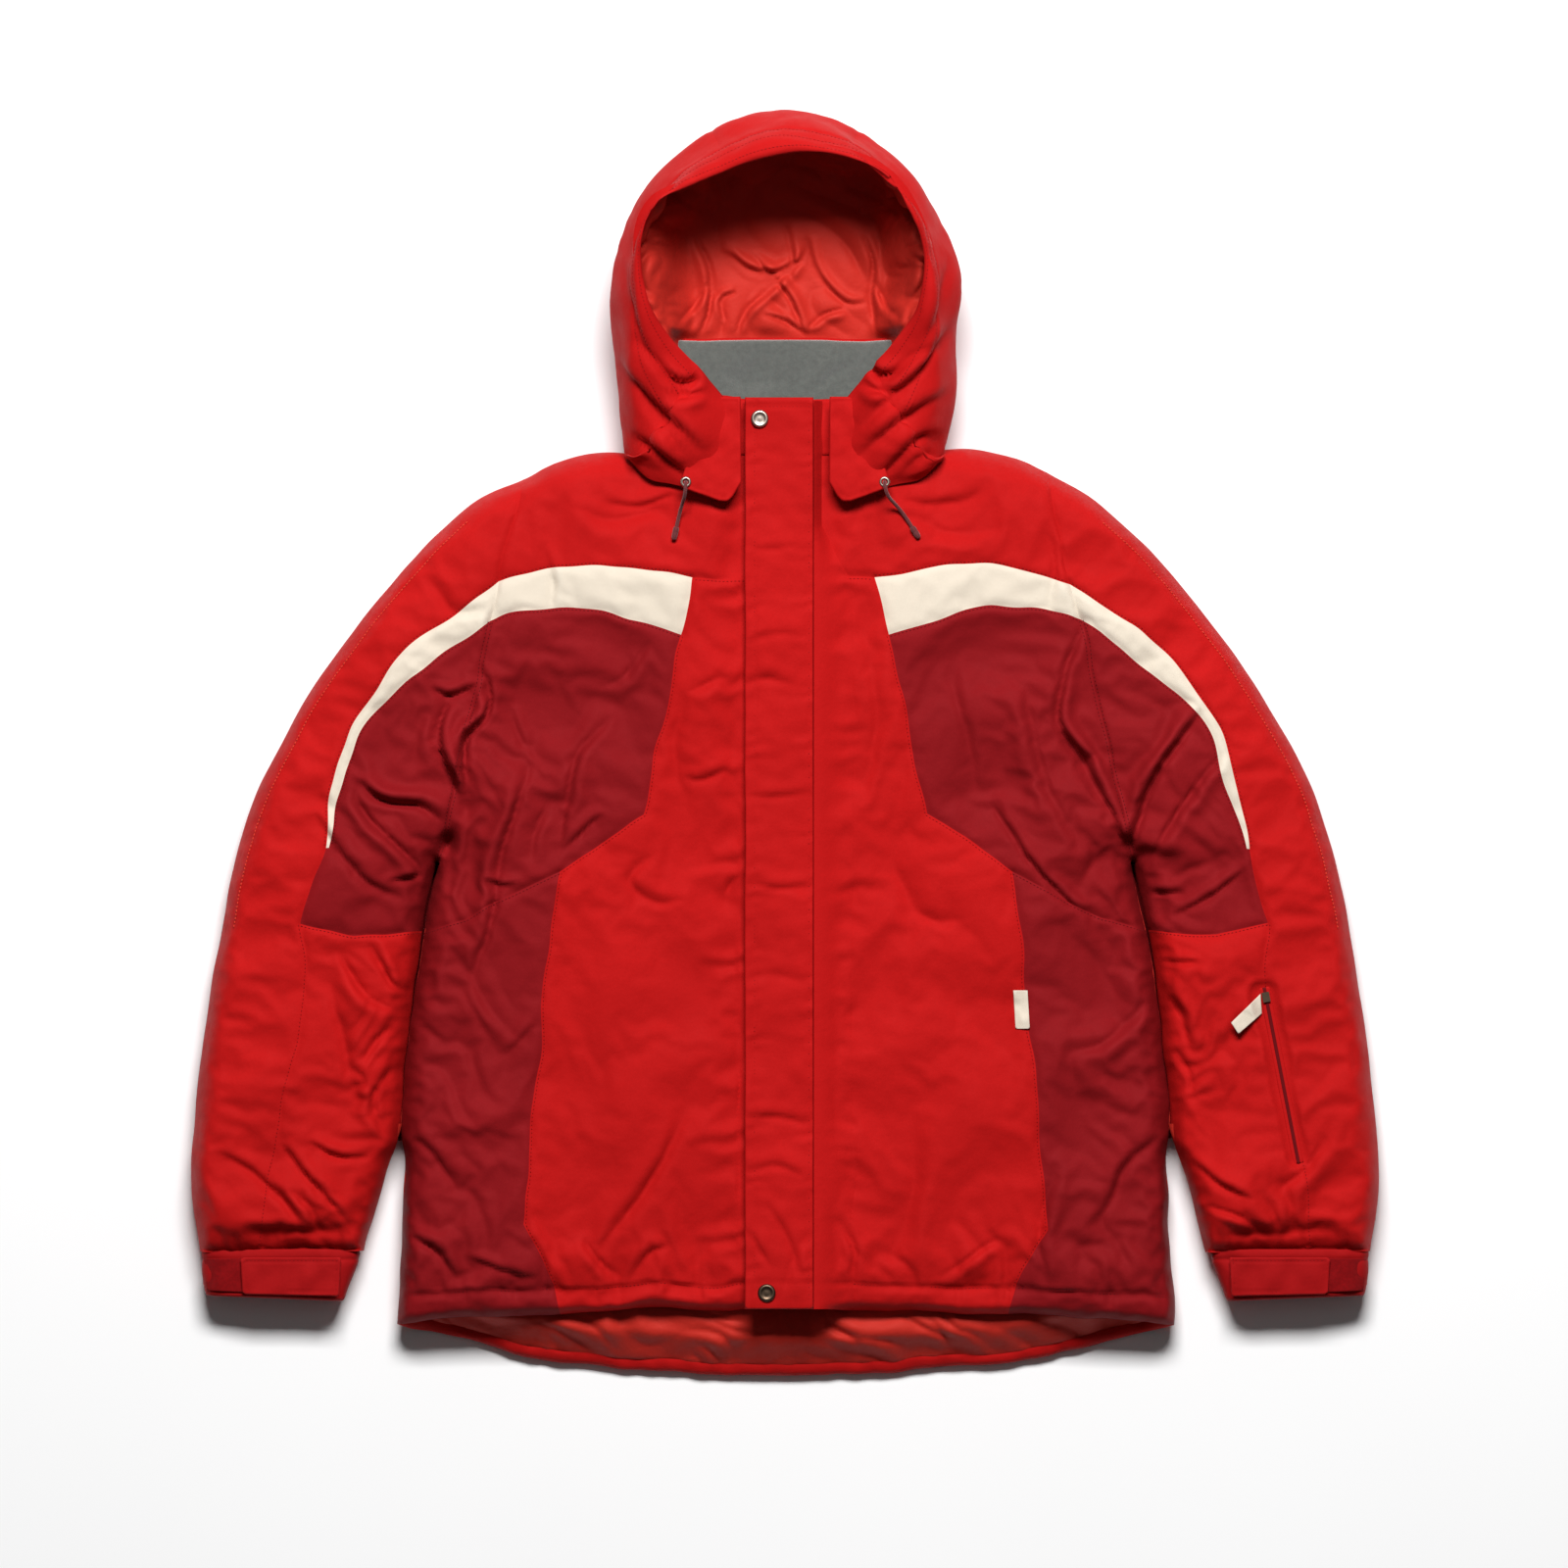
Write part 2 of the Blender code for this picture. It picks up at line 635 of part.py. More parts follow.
def zip_slider(parent):
    """Two plates joined by a post that rides in the slit between the teeth."""
    half, post = 0.0052, 0.0011
    low0, low1, high0, high1 = 0.0470, 0.0482, 0.0538, 0.0550
    section = [(-half, low0), (half, low0), (half, low1), (post, low1), (post, high0), (half, high0),
               (half, high1), (-half, high1), (-half, high0), (-post, high0), (-post, low1), (-half, low1)]
    return bar("zip_slider", section, *SLIDER_Y, dark_metal(), parent)


def zip_pull(parent):
    """A flat puller that lies along the teeth, round at its free end."""
    neck, half, top, low = 0.0020, 0.0034, 0.2800, 0.2500
    end = [Vector((half * math.cos(a), low + half * math.sin(a)))
           for a in (math.pi * 1.15, math.pi * 1.5, math.pi * 1.85)]
    outline = joined(straight([(-neck, top), (-half, low + neck)]), end,
                     straight([(half, low + neck), (neck, top)]))
    return prism("zip_pull", outline, *PULL_Z, dark_metal(), parent)


def storm_flap(parent):
    made = prism("storm_flap", box_outline(*FLAP_X, *FLAP_Y), *FLAP_Z, red_shell(), parent)
    for name, place in SNAPS.items():
        hole = prism("hole_" + name, circle(place, 0.0030, 12), FLAP_Z[0] - 0.002, FLAP_Z[1] + 0.002,
                     red_shell(), parent)
        combine(made, hole, "DIFFERENCE")
    return made


def snap_cap(which, parent):
    """The cap on the flap, its stem through the cloth and the socket below, one riveted piece."""
    top, low = FLAP_Z[1], FLAP_Z[0]
    profile = [(0.0, top + 0.0030), (SNAP_RADIUS * 0.62, top + 0.0026), (SNAP_RADIUS, top + 0.0012),
               (SNAP_RADIUS, top + CLEAR), (SNAP_STEM, top + CLEAR), (SNAP_STEM, low - CLEAR),
               (0.0060, low - CLEAR), (0.0060, low - 0.0018), (0.0, low - 0.0018)]
    colour = pale_metal() if which == "top" else dark_metal()
    return turned(which + "_snap_cap", SNAPS[which], profile, colour, parent)


def snap_stud(which):
    """The mating stud on the wearer's right front, under the flap."""
    base = UNDER_FLAP
    profile = [(0.0, base + 0.0036), (0.0020, base + 0.0034), (0.0024, base + 0.0020),
               (0.0056, base + 0.0014), (0.0056, base + CLEAR), (0.0, base + CLEAR)]
    return turned(which + "_snap_stud", SNAPS[which], profile, dark_metal())


# ---------------------------------------------------------------- hood

def hood_station(turn):
    """The silhouette's point, its inward direction and the section's shape at a turn round the hood.

    turn runs from -1 at the wearer's right neck corner, through 0 at the crown, to 1 at the left.
    HOOD_SECTIONS holds the depth, half height and rim angle at the crown, temple and neck.
    """
    share = abs(turn)
    side = 1 if turn >= 0 else -1
    crown, temple, neck = HOOD_SECTIONS
    if share <= HOOD_ARC:
        angle = math.radians(90 * (1 - share / HOOD_ARC))
        point = Vector((HOOD_HALF_WIDTH * math.cos(angle), HOOD_CENTRE_Y + HOOD_DEPTH * math.sin(angle)))
        inward = (Vector((0.0, HOOD_CENTRE_Y)) - point).normalized()
        depth, half_height, rim = mixed(share / HOOD_ARC, crown, temple)
    else:
        t = (share - HOOD_ARC) / (1 - HOOD_ARC)
        y = HOOD_CENTRE_Y + (HOOD_FOLD.y + 0.0006 - HOOD_CENTRE_Y) * t
        point = Vector((HOOD_HALF_WIDTH - 0.013 * t * t, y))
        inward = Vector((-1.0, 0.0))
        depth, half_height, rim = mixed(t, temple, neck)
    return (Vector((point.x * side, point.y)), Vector((inward.x * side, inward.y)),
            depth, half_height, math.radians(rim))


def mixed(t, a, b):
    return [x + (y - x) * t for x, y in zip(a, b)]


def hood_point(turn, lift, sink):
    """A point of the hood's section: lift is 0 at the floor and 1 at the rim, sink is its depth inside."""
    point, inward, depth, half_height, rim = hood_station(turn)
    angle = -math.pi / 2 + (rim + math.pi / 2) * lift
    across, up = math.cos(angle), math.sin(angle)
    radius, height = depth - sink, half_height - sink
    place = point + inward * (depth - radius * across)
    return Vector((place.x, place.y, half_height + height * up))


def hood_shell(name, turns, lifts, sink, thickness, made_of, parent):
    """A piece of the bowl between two turns and two lifts."""
    loops = []
    for turn in turns:
        outer = [hood_point(turn, lift, sink) for lift in lifts]
        inner = [hood_point(turn, lift, sink + thickness) for lift in reversed(lifts)]
        loops.append(outer + inner)
    return skinned(name, loops, made_of, parent, smooth_angle=50)


def spread(low, high, count):
    return [low + (high - low) * i / count for i in range(count + 1)]


def hood_floor(grow):
    """The outline of the hood's back: the ring that its sections stand on, moved outwards by grow."""
    outline = []
    for turn in spread(-1.0, 1.0, 16):
        point, inward, depth, _, _ = hood_station(turn)
        outline.append(point + inward * (depth - grow))
    return anticlockwise(outline)


def hood_panels(parent):
    """The centre panel over the crown, a panel on each side of it, and the brim along all three."""
    turn_gap, lift_gap = 0.0016, 0.004
    panel_top, brim_low = BRIM_SEAM - lift_gap, BRIM_SEAM + lift_gap
    centre_end = CENTRE_PANEL_TURN - turn_gap
    for side in (1, -1):
        turns = [t * side for t in spread(CENTRE_PANEL_TURN + turn_gap, 1.0, 8)]
        hood_shell(side_name(side) + "_hood_panel", turns, spread(0.0, panel_top, 7), 0.0,
                   HOOD_THICKNESS, red_shell(), parent)
    centre = hood_shell("hood_centre_panel", spread(-centre_end, centre_end, 4),
                        spread(-0.03, panel_top, 7), 0.0, HOOD_THICKNESS, red_shell(), parent)
    brim = hood_shell("hood_brim", spread(-1.0, 1.0, 22), spread(brim_low, 1.0, 2), 0.0,
                      HOOD_THICKNESS, red_shell(), parent)
    return centre, brim


def hood_pieces(parent):
    """The hood's shell and lining with their backs, and the collar that it is sewn to."""
    centre, _ = hood_panels(parent)
    floor = prism("helper_floor", hood_floor(-0.0006), 0.0, HOOD_THICKNESS, red_shell(), parent)
    combine(centre, floor, "UNION")
    lining = hood_shell("hood_lining", spread(-1.0, 1.0, 20), spread(-0.02, LINING_RIM, 7),
                        LINING_INSET, LINING_THICKNESS, lining_fabric(), parent)
    plate = prism("helper_lining_floor", hood_floor(0.004), LINING_INSET + 0.0002,
                  LINING_INSET + LINING_THICKNESS - 0.0002, lining_fabric(), parent)
    combine(lining, plate, "UNION")
    prism("collar_back", straight(COLLAR_BACK), *COLLAR_BACK_Z, red_shell(), parent)
    prism("collar_fleece", straight(COLLAR_FLEECE), *COLLAR_FLEECE_Z, fleece_fabric(), parent)


# ---------------------------------------------------------------- drawcords

def eyelet(side):
    x, y, z = EYELET
    profile = [(0.0046, z), (0.0046, z + 0.0010), (0.0036, z + 0.0016), (0.0022, z + 0.0010), (0.0022, z)]
    return turned(side_name(side) + "_eyelet", (x * side, y), profile, pale_metal(), count=16)


def cord_route(side):
    """Up out of the eyelet, over the edge of the throat flap and down along the yoke."""
    x, y, z = EYELET
    lean = 0.0236 if side == 1 else 0.0080
    shape = [(0.0, 0.0, 0.0004), (0.0, -0.0004, 0.0040), (0.02, -0.0040, 0.0076), (0.08, -0.0095, 0.0070),
             (0.20, -0.0145, 0.0010), (0.38, -0.0190, -0.0070), (0.62, -0.0255, -0.0126),
             (0.82, -0.0320, -0.0143), (1.0, -0.0385, -0.0145)]
    return [Vector(((x + lean * a) * side, y + b, z + c)) for a, b, c in shape]


def drawcord(side):
    route = smooth(cord_route(side), 2)
    curve = bpy.data.curves.new(side_name(side) + "_drawcord", "CURVE")
    curve.dimensions = "3D"
    curve.bevel_depth = CORD_RADIUS
    curve.bevel_resolution = 2
    curve.render_resolution_u = 0
    curve.use_fill_caps = True
    spline = curve.splines.new("POLY")
    spline.points.add(len(route) - 1)
    for point, place in zip(spline.points, route):
        point.co = (*place, 1.0)
    curve.materials.append(cord_fabric())
    made = bpy.data.objects.new(side_name(side) + "_drawcord", curve)
    bpy.context.scene.collection.objects.link(made)
    return made


def cord_tip(side):
    """A crimped end sleeve on the cord."""
    route = cord_route(side)
    run = (route[-1] - route[-2]).normalized()
    across = run.cross(Vector((0, 0, 1))).normalized()
    up = across.cross(run)
    loops = []
    for along, radius in ((0.0004, 0.0021), (0.0020, 0.0026), (0.0105, 0.0022), (0.0120, 0.0014)):
        centre = route[-1] + run * along + Vector((0, 0, 0.0011))
        loops.append([centre + across * radius * math.cos(i * math.pi / 5)
                      + up * radius * math.sin(i * math.pi / 5) for i in range(10)])
    return skinned(side_name(side) + "_cord_tip", loops, cord_fabric(), smooth_angle=50)


# ---------------------------------------------------------------- sleeves

def outer_sleeve(side, parent):
    outer = smooth(SLEEVE_OUTER)
    outline = joined(armhole(ARM_STRIPE_TOP[0][1], SHOULDER_TIP.y)[::-1], outer,
                     smooth(FOREARM_SEAM)[::-1], smooth(ARM_STRIPE_TOP)[::-1])
    made = panel(side_name(side) + "_outer_sleeve", mirrored(outline, side), SLEEVE_UNDERSIDE,
                 sleeve_height, red_shell(), parent)
    return sleeve_wall(made, outer[1:], side, Vector((0.15 * side, -0.4)), parent)


def sleeve_stripe(side, parent):
    outline = joined(smooth(ARM_STRIPE_TOP), smooth(ARM_STRIPE_LOW)[::-1])
    return panel(side_name(side) + "_sleeve_stripe", mirrored(outline, side), SLEEVE_UNDERSIDE,
                 sleeve_height, cream_fabric(), parent)


def under_sleeve(side, parent):
    inner = part_of(smooth(SLEEVE_INNER), ELBOW_INNER_Y, UNDERARM.y)
    outline = joined(armhole(UNDERARM.y, ARM_STRIPE_LOW[0][1]), inner, straight([ELBOW_OUTER]),
                     straight([ARM_STRIPE_TOP[-1]]), smooth(ARM_STRIPE_LOW)[::-1])
    made = panel(side_name(side) + "_under_sleeve", mirrored(outline, side), SLEEVE_UNDERSIDE,
                 sleeve_height, dark_shell(), parent)
    return sleeve_wall(made, inner, side, Vector((0.5 * side, -0.13)), parent)


def forearm(side, parent):
    inner = part_of(smooth(SLEEVE_INNER), -0.4370, ELBOW_INNER_Y)
    outline = joined(inner, smooth(FOREARM_SEAM)[::-1])
    made = panel(side_name(side) + "_forearm", mirrored(outline, side), SLEEVE_UNDERSIDE,
                 sleeve_height, red_shell(), parent)
    return sleeve_wall(made, inner, side, Vector((0.5 * side, -0.3)), parent)


def sleeve_back(side, parent):
    outline = joined(smooth(SLEEVE_OUTER), smooth(SLEEVE_INNER)[::-1])
    return prism(side_name(side) + "_sleeve_back", mirrored(outline, side), 0.0, SLEEVE_BACK,
                 red_shell(), parent)


def rounded_section(x0, x1, z0, z1, radius, steps=3):
    """A rectangle with round corners in the XZ plane, anticlockwise seen from -Y."""
    made = []
    corners = [(x1 - radius, z0 + radius, -90), (x1 - radius, z1 - radius, 0),
               (x0 + radius, z1 - radius, 90), (x0 + radius, z0 + radius, 180)]
    for cx, cz, start in corners:
        for k in range(steps + 1):
            a = math.radians(start + 90 * k / steps)
            made.append((cx + radius * math.cos(a), cz + radius * math.sin(a)))
    return made


def cuff(side, parent):
    """A flattened ring round the sleeve's end."""
    mesh_data = bmesh.new()
    rings = []
    for radius, thickness in ((CUFF_RADIUS, 0.0), (CUFF_RADIUS - 0.007, CUFF_THICKNESS)):
        ring = []
        for y_in, x0, x1, y_out in CUFF_STATIONS:
            section = rounded_section(x0 + thickness, x1 - thickness, thickness, CUFF_HEIGHT - thickness,
                                      radius)
            loop = []
            for x, z in section:
                y = y_in + (y_out - y_in) * (x - x0) / (x1 - x0)
                loop.append(mesh_data.verts.new((x * side, y, z)))
            ring.append(loop)
        rings.append(ring)
    outer, inner = rings
    count = len(outer[0])
    quads = list(zip(outer, outer[1:])) + list(zip(inner[1:], inner))
    quads += [(inner[0], outer[0]), (outer[-1], inner[-1])]
    for a, b in quads:
        for i in range(count):
            j = (i + 1) % count
            mesh_data.faces.new((a[i], b[i], b[j], a[j]))
    return finish(side_name(side) + "_cuff", mesh_data, cuff_fabric(), parent, 50)


def loop_patch(side, parent):
    return prism(side_name(side) + "_loop_patch", mirrored(box_outline(*PATCH_BOX), side), *PATCH_Z,
                 hook_fabric(), parent)


def cuff_tab(side, parent):
    """The tab, sewn at its square end and round at the end that closes on the loops."""
    end = [TAB_END + Vector((math.cos(a), math.sin(a))) * TAB_HALF
           for a in (-math.pi * 0.5, -math.pi * 0.25, 0.0, math.pi * 0.25, math.pi * 0.5)]
    sewn = [(TAB_HINGE.x, TAB_HINGE.y + TAB_HALF), (TAB_HINGE.x, TAB_HINGE.y - TAB_HALF)]
    return prism(side_name(side) + "_cuff_tab", mirrored(joined(straight(sewn), end), side), *TAB_Z,
                 cuff_fabric(), parent)


def along_pocket(start, end, half):
    """A bar along the pocket zip between two distances from its upper end."""
    run = (POCKET_END - POCKET_TOP).normalized()
    side = Vector((-run.y, run.x))
    a, b = POCKET_TOP + run * start, POCKET_TOP + run * end
    return [a + side * half, a - side * half, b - side * half, b + side * half]


def sleeve_pocket(parent, slider_parent):
    """The sleeve pocket's zip, its slider and the cloth tab that pulls it."""
    past_ends = 0.004
    zip_outline = along_pocket(-past_ends, (POCKET_END - POCKET_TOP).length + past_ends, 0.0030)
    prism("sleeve_pocket_zip", zip_outline, SLEEVE_CROWN + CLEAR, SLEEVE_CROWN + 0.0016, cord_fabric(),
          parent)
    prism("sleeve_pocket_slider", along_pocket(0.0, 0.0090, 0.0034), SLEEVE_CROWN + 0.0020,
          SLEEVE_CROWN + 0.0042, dark_metal(), slider_parent)
    prism("sleeve_pocket_tab", straight(POCKET_TAB), SLEEVE_CROWN + 0.0022, SLEEVE_CROWN + 0.0038,
          cream_fabric(), slider_parent)


# ---------------------------------------------------------------- assembly

def pivot(name, place):
    made = bpy.data.objects.new(name, None)
    made.empty_display_size = 0.02
    made.location = place
    bpy.context.scene.collection.objects.link(made)
    bpy.context.view_layer.update()
    return made


def clear_scene():
    for thing in list(bpy.data.objects):
        bpy.data.objects.remove(thing, do_unlink=True)


def build_body():
    back_panel()
    back_lining()
    for side in (1, -1):
        front_yoke(side)
        chest_stripe(side)
        chest_panel(side)
        front_panel(side)
        side_panel(side)
        front_lining(side)
        collar_front(side)
        throat_flap(side)
        zip_tape(side)
        eyelet(side)
        drawcord(side)
        cord_tip(side)
    flag_tab()
    for which in SNAPS:
        snap_stud(which)


def build_flap():
    hinge = pivot("flap_pivot", FLAP_HINGE)
    storm_flap(hinge)
    for which in SNAPS:
        snap_cap(which, hinge)


def build_zip():
    start = pivot("zip_pivot", Vector((0.0, sum(SLIDER_Y) / 2, ZIP_Z)))
    zip_slider(start)
    zip_pull(start)


def build_sleeve(side):
    fold = pivot(side_name(side) + "_sleeve_pivot",
                 Vector((SHOULDER_TIP.x * side, SHOULDER_TIP.y, SLEEVE_FOLD_Z)))
    outer_sleeve(side, fold)
    sleeve_stripe(side, fold)
    under_sleeve(side, fold)
    forearm(side, fold)
    sleeve_back(side, fold)
    cuff(side, fold)
    loop_patch(side, fold)
    tab_hinge = pivot(side_name(side) + "_tab_pivot", Vector((TAB_HINGE.x * side, *TAB_HINGE.yz)))
    cuff_tab(side, tab_hinge)
    if side == 1:
        slide = pivot("pocket_pivot", Vector((*POCKET_TOP, SLEEVE_CROWN)))
        sleeve_pocket(fold, slide)


def build():
    clear_scene()
    build_body()
    build_flap()
    build_zip()
    hood_pieces(pivot("hood_pivot", HOOD_FOLD))
    for side in (1, -1):
        build_sleeve(side)


build()
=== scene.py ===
"""The looks of an insulated, hooded ski jacket lying flat on its back.

Metres. +X is towards the wearer's left sleeve, +Y towards the hood, +Z out of the front.
Each panel is a fine sheet between its seams. One height function gives the front's puff,
seams, puckers and folds, so that neighbouring panels meet along their seams.
"""
import json
import math

import bmesh
import bpy
import numpy as np
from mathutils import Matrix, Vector
from mathutils.bvhtree import BVHTree
from mathutils.geometry import delaunay_2d_cdt

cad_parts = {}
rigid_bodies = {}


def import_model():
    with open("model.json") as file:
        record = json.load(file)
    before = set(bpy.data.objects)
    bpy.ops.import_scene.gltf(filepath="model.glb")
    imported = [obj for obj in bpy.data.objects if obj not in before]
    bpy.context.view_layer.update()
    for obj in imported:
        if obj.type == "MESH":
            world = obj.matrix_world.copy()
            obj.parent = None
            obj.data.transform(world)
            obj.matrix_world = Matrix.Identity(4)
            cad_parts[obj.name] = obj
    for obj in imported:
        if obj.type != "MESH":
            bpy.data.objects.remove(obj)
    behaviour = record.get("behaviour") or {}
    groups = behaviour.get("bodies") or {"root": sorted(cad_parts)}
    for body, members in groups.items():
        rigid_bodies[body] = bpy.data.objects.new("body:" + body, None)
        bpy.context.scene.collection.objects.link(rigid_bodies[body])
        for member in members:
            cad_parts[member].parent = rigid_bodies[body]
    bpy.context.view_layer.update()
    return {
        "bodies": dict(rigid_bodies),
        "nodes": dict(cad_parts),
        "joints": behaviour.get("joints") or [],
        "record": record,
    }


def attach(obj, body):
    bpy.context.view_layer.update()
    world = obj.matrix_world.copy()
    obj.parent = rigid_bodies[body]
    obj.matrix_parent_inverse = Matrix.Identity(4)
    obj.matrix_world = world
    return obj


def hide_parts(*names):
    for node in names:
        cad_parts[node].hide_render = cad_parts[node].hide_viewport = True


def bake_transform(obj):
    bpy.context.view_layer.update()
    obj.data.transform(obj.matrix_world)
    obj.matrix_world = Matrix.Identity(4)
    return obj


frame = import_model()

STEP = 0.0027  # between the points of a seam line
SPACING = 0.0027  # between the points inside a panel
COARSE = 0.012  # between the points of the outline that heights are measured from
ROWS = (0.0007, 0.0019, 0.0036, 0.0058)  # rows of points along a panel's border, from it inwards

# Heights
SEAM_Z = 0.020  # the side seams, where front and back meet
ROUND = 0.024  # the steep outer part of the front's edge
PUFF = 0.019  # the slow rise inside it
UNDER_FLAP = 0.060
FLAP_LOW = 0.0662
FLAP_TOP = 0.0722
LINING_Z = 0.0135
FRONT_LINING_Z = 0.0350

# The neck, the front opening and the armhole's ends
NECK_Y = 0.2490
FRONT_OPENING = 0.0125
SHOULDER_TIP = (0.2265, 0.2345)
UNDERARM = (0.3026, -0.1030)
ELBOW_OUTER = (0.4180, -0.1560)
ELBOW_INNER_Y = -0.1620
SLEEVE_END_Y = -0.4410
FRONT_HEM_Y = -0.4900
SIDE_HEM_Y = -0.5030
HEM_ROW = 0.0225  # from the hem's edge to its row of stitches
STRIPE_TOP = [(0.0786, 0.1424), (0.123, 0.1509), (0.170, 0.1551), (0.208, 0.1492), (0.2481, 0.1387)]
STRIPE_LOW = [(0.0897, 0.0952), (0.1275, 0.1075), (0.1785, 0.1177), (0.234, 0.1140), (0.2556, 0.1057)]
FLAP_X = (-0.0350, 0.0245)
FLAP_Y = (-0.4900, 0.2995)
SNAPS = {"top": (-0.0220, 0.2810), "bottom": (-0.0160, -0.4760)}
POCKET = ((0.4157, -0.2155), (0.4440, -0.3600))
POCKET_TRAVEL = 0.13  # of its slider and tab
ZIP_Y = (-0.480, 0.290)  # the ends of the front zip's tapes

# Drawcords
CORD_DIAMETER = 0.003
EYELET = (0.0860, 0.2262, 0.0804)


# ---------------------------------------------------------------- lines

def reaches(line):
    """How far along a line each of its points is."""
    return np.r_[0, np.cumsum(np.linalg.norm(np.diff(line, axis=0), axis=1))]


def resampled(line, count):
    """The same line as count evenly spaced points."""
    reach = reaches(line)
    places = np.linspace(0, reach[-1], count)
    return np.column_stack([np.interp(places, reach, line[:, k]) for k in range(line.shape[1])])


def even(line, step):
    """The same line with its points an even distance apart, about step."""
    return resampled(line, max(1, round(reaches(line)[-1] / step)) + 1)


def closed(outline):
    """An outline with its first point again at its end."""
    return np.vstack([outline, outline[:1]])


def refine(given, steps):
    """Catmull-Rom between the rows of an array, with its ends kept."""
    given = np.asarray(given, float)
    ends = np.concatenate([[2 * given[0] - given[1]], given, [2 * given[-1] - given[-2]]])
    made = []
    for a, b, c, d in zip(ends, ends[1:], ends[2:], ends[3:]):
        for t in np.arange(steps) / steps:
            made.append(0.5 * (2 * b + (c - a) * t + (2 * a - 5 * b + 4 * c - d) * t ** 2
                               + (3 * b - a - 3 * c + d) * t ** 3))
    made.append(given[-1])
    return np.array(made)


def curve(points, step=STEP):
    return even(refine(points, 12), step)


def run(*points, step=STEP):
    """Straight stretches with their corners kept."""
    given = np.asarray(points, float)
    parts = [even(given[i:i + 2], step)[:-1] for i in range(len(given) - 1)]
    return np.vstack([*parts, given[-1:]])


def cut(line, high, low):
    """The stretch of a line that runs down in y between two heights, ends cut exactly there."""
    middle = line[(line[:, 1] < high - 1e-4) & (line[:, 1] > low + 1e-4)]
    ends = [(np.interp(-y, -line[:, 1], line[:, 0]), y) for y in (high, low)]
    return np.vstack([ends[:1], middle, ends[1:]])


def loop(*lines):
    """Lines end to end as one closed outline, anticlockwise, without the points that repeat."""
    points = np.vstack(lines)
    after = np.roll(points, -1, axis=0)
    points = points[np.linalg.norm(after - points, axis=1) > 1e-4]
    x, y = points.T
    turned = np.sum(x * np.roll(y, -1) - np.roll(x, -1) * y)
    return points if turned > 0 else points[::-1]


def flipped(line, side):
    """side is 1 for the wearer's left, in which the lines are given, and -1 for the right."""
    return np.asarray(line) * [side, 1]


# The seam lines of the wearer's left half
TOP = curve(STRIPE_TOP)
LOW = curve(STRIPE_LOW)
NECK = run((FRONT_OPENING, NECK_Y), (0.1385, NECK_Y))
SHOULDER = curve([(0.1385, NECK_Y), (0.1980, 0.2452), SHOULDER_TIP])
ARMHOLE_TOP = run(SHOULDER_TIP, STRIPE_TOP[-1])
ARMHOLE_STRIPE = run(STRIPE_TOP[-1], STRIPE_LOW[-1])
ARMHOLE_LOW = run(STRIPE_LOW[-1], UNDERARM)
YOKE_SEAM = run((FRONT_OPENING, STRIPE_TOP[0][1]), STRIPE_TOP[0])
STRIPE_END = run(STRIPE_TOP[0], STRIPE_LOW[0])
CHEST_SEAM = run(STRIPE_LOW[0], (0.1233, -0.0608), (0.1976, -0.1118))
SIDE_SEAM = run((0.1976, -0.1118), (0.205, -0.171), (0.2275, -0.418), (0.200, -0.469), (0.194, -0.4945))
BODY_EDGE = curve([(0.2990, -0.1030), (0.3135, -0.171), (0.3280, -0.290), (0.3325, -0.375),
                   (0.3360, SIDE_HEM_Y)])
BODY_EDGE_TOP = np.vstack([[UNDERARM], cut(BODY_EDGE, UNDERARM[1] - 1e-4, ELBOW_INNER_Y)])
BODY_EDGE_LOW = cut(BODY_EDGE, ELBOW_INNER_Y, SIDE_HEM_Y)
UNDERARM_SEAM = run((0.1976, -0.1118), (0.2754, -0.1520), BODY_EDGE_TOP[-1])
FRONT_HEM = run((0.194, -0.4945), (FRONT_OPENING, FRONT_HEM_Y))
SIDE_HEM = run((0.3360, SIDE_HEM_Y), (0.194, -0.4945))
FRONT_EDGE = run((FRONT_OPENING, NECK_Y), (FRONT_OPENING, STRIPE_TOP[0][1]), (FRONT_OPENING, FRONT_HEM_Y))
BACK_HEM = curve([(0.3360, SIDE_HEM_Y), (0.285, -0.517), (0.2125, -0.534), (0.098, -0.546), (0.0, -0.549)])
SLEEVE_OUTER = curve([SHOULDER_TIP, (0.268, 0.2112), (0.323, 0.160), (0.385, 0.0837), (0.4335, 0.007),
                      (0.468, -0.069), (0.491, -0.171), (0.5065, -0.273), (0.5155, -0.375),
                      (0.5075, SLEEVE_END_Y)])
SLEEVE_INNER = curve([UNDERARM, (0.3170, -0.162), (0.3320, -0.290), (0.3370, -0.340), (0.3480, -0.375),
                      (0.3650, SLEEVE_END_Y)])
ARM_TOP = curve([STRIPE_TOP[-1], (0.2975, 0.1041), (0.3315, 0.0778), (0.357, 0.0455), (0.378, 0.0115),
                 (0.3920, -0.040), (0.4010, -0.0905)])
ARM_LOW = curve([STRIPE_LOW[-1], (0.289, 0.0829), (0.319, 0.059), (0.347, 0.037), (0.368, 0.0110),
                 (0.3830, -0.040), (0.3985, -0.0905)])
ARM_STRIPE_END = run((0.4010, -0.0905), (0.3985, -0.0905))
UNDER_SLEEVE_EDGE = run((0.4010, -0.0905), ELBOW_OUTER)
INNER_TOP = cut(SLEEVE_INNER, UNDERARM[1], ELBOW_INNER_Y)
INNER_LOW = cut(SLEEVE_INNER, ELBOW_INNER_Y, SLEEVE_END_Y)
ELBOW_SEAM = run(ELBOW_OUTER, (0.372, -0.1655), INNER_TOP[-1])
FOREARM_SEAM = curve([ELBOW_OUTER, (0.4140, -0.195), (0.4225, -0.256), (0.4455, -0.367),
                      (0.4565, SLEEVE_END_Y)])
OUTER_END = run((0.5075, SLEEVE_END_Y), (0.4565, SLEEVE_END_Y))
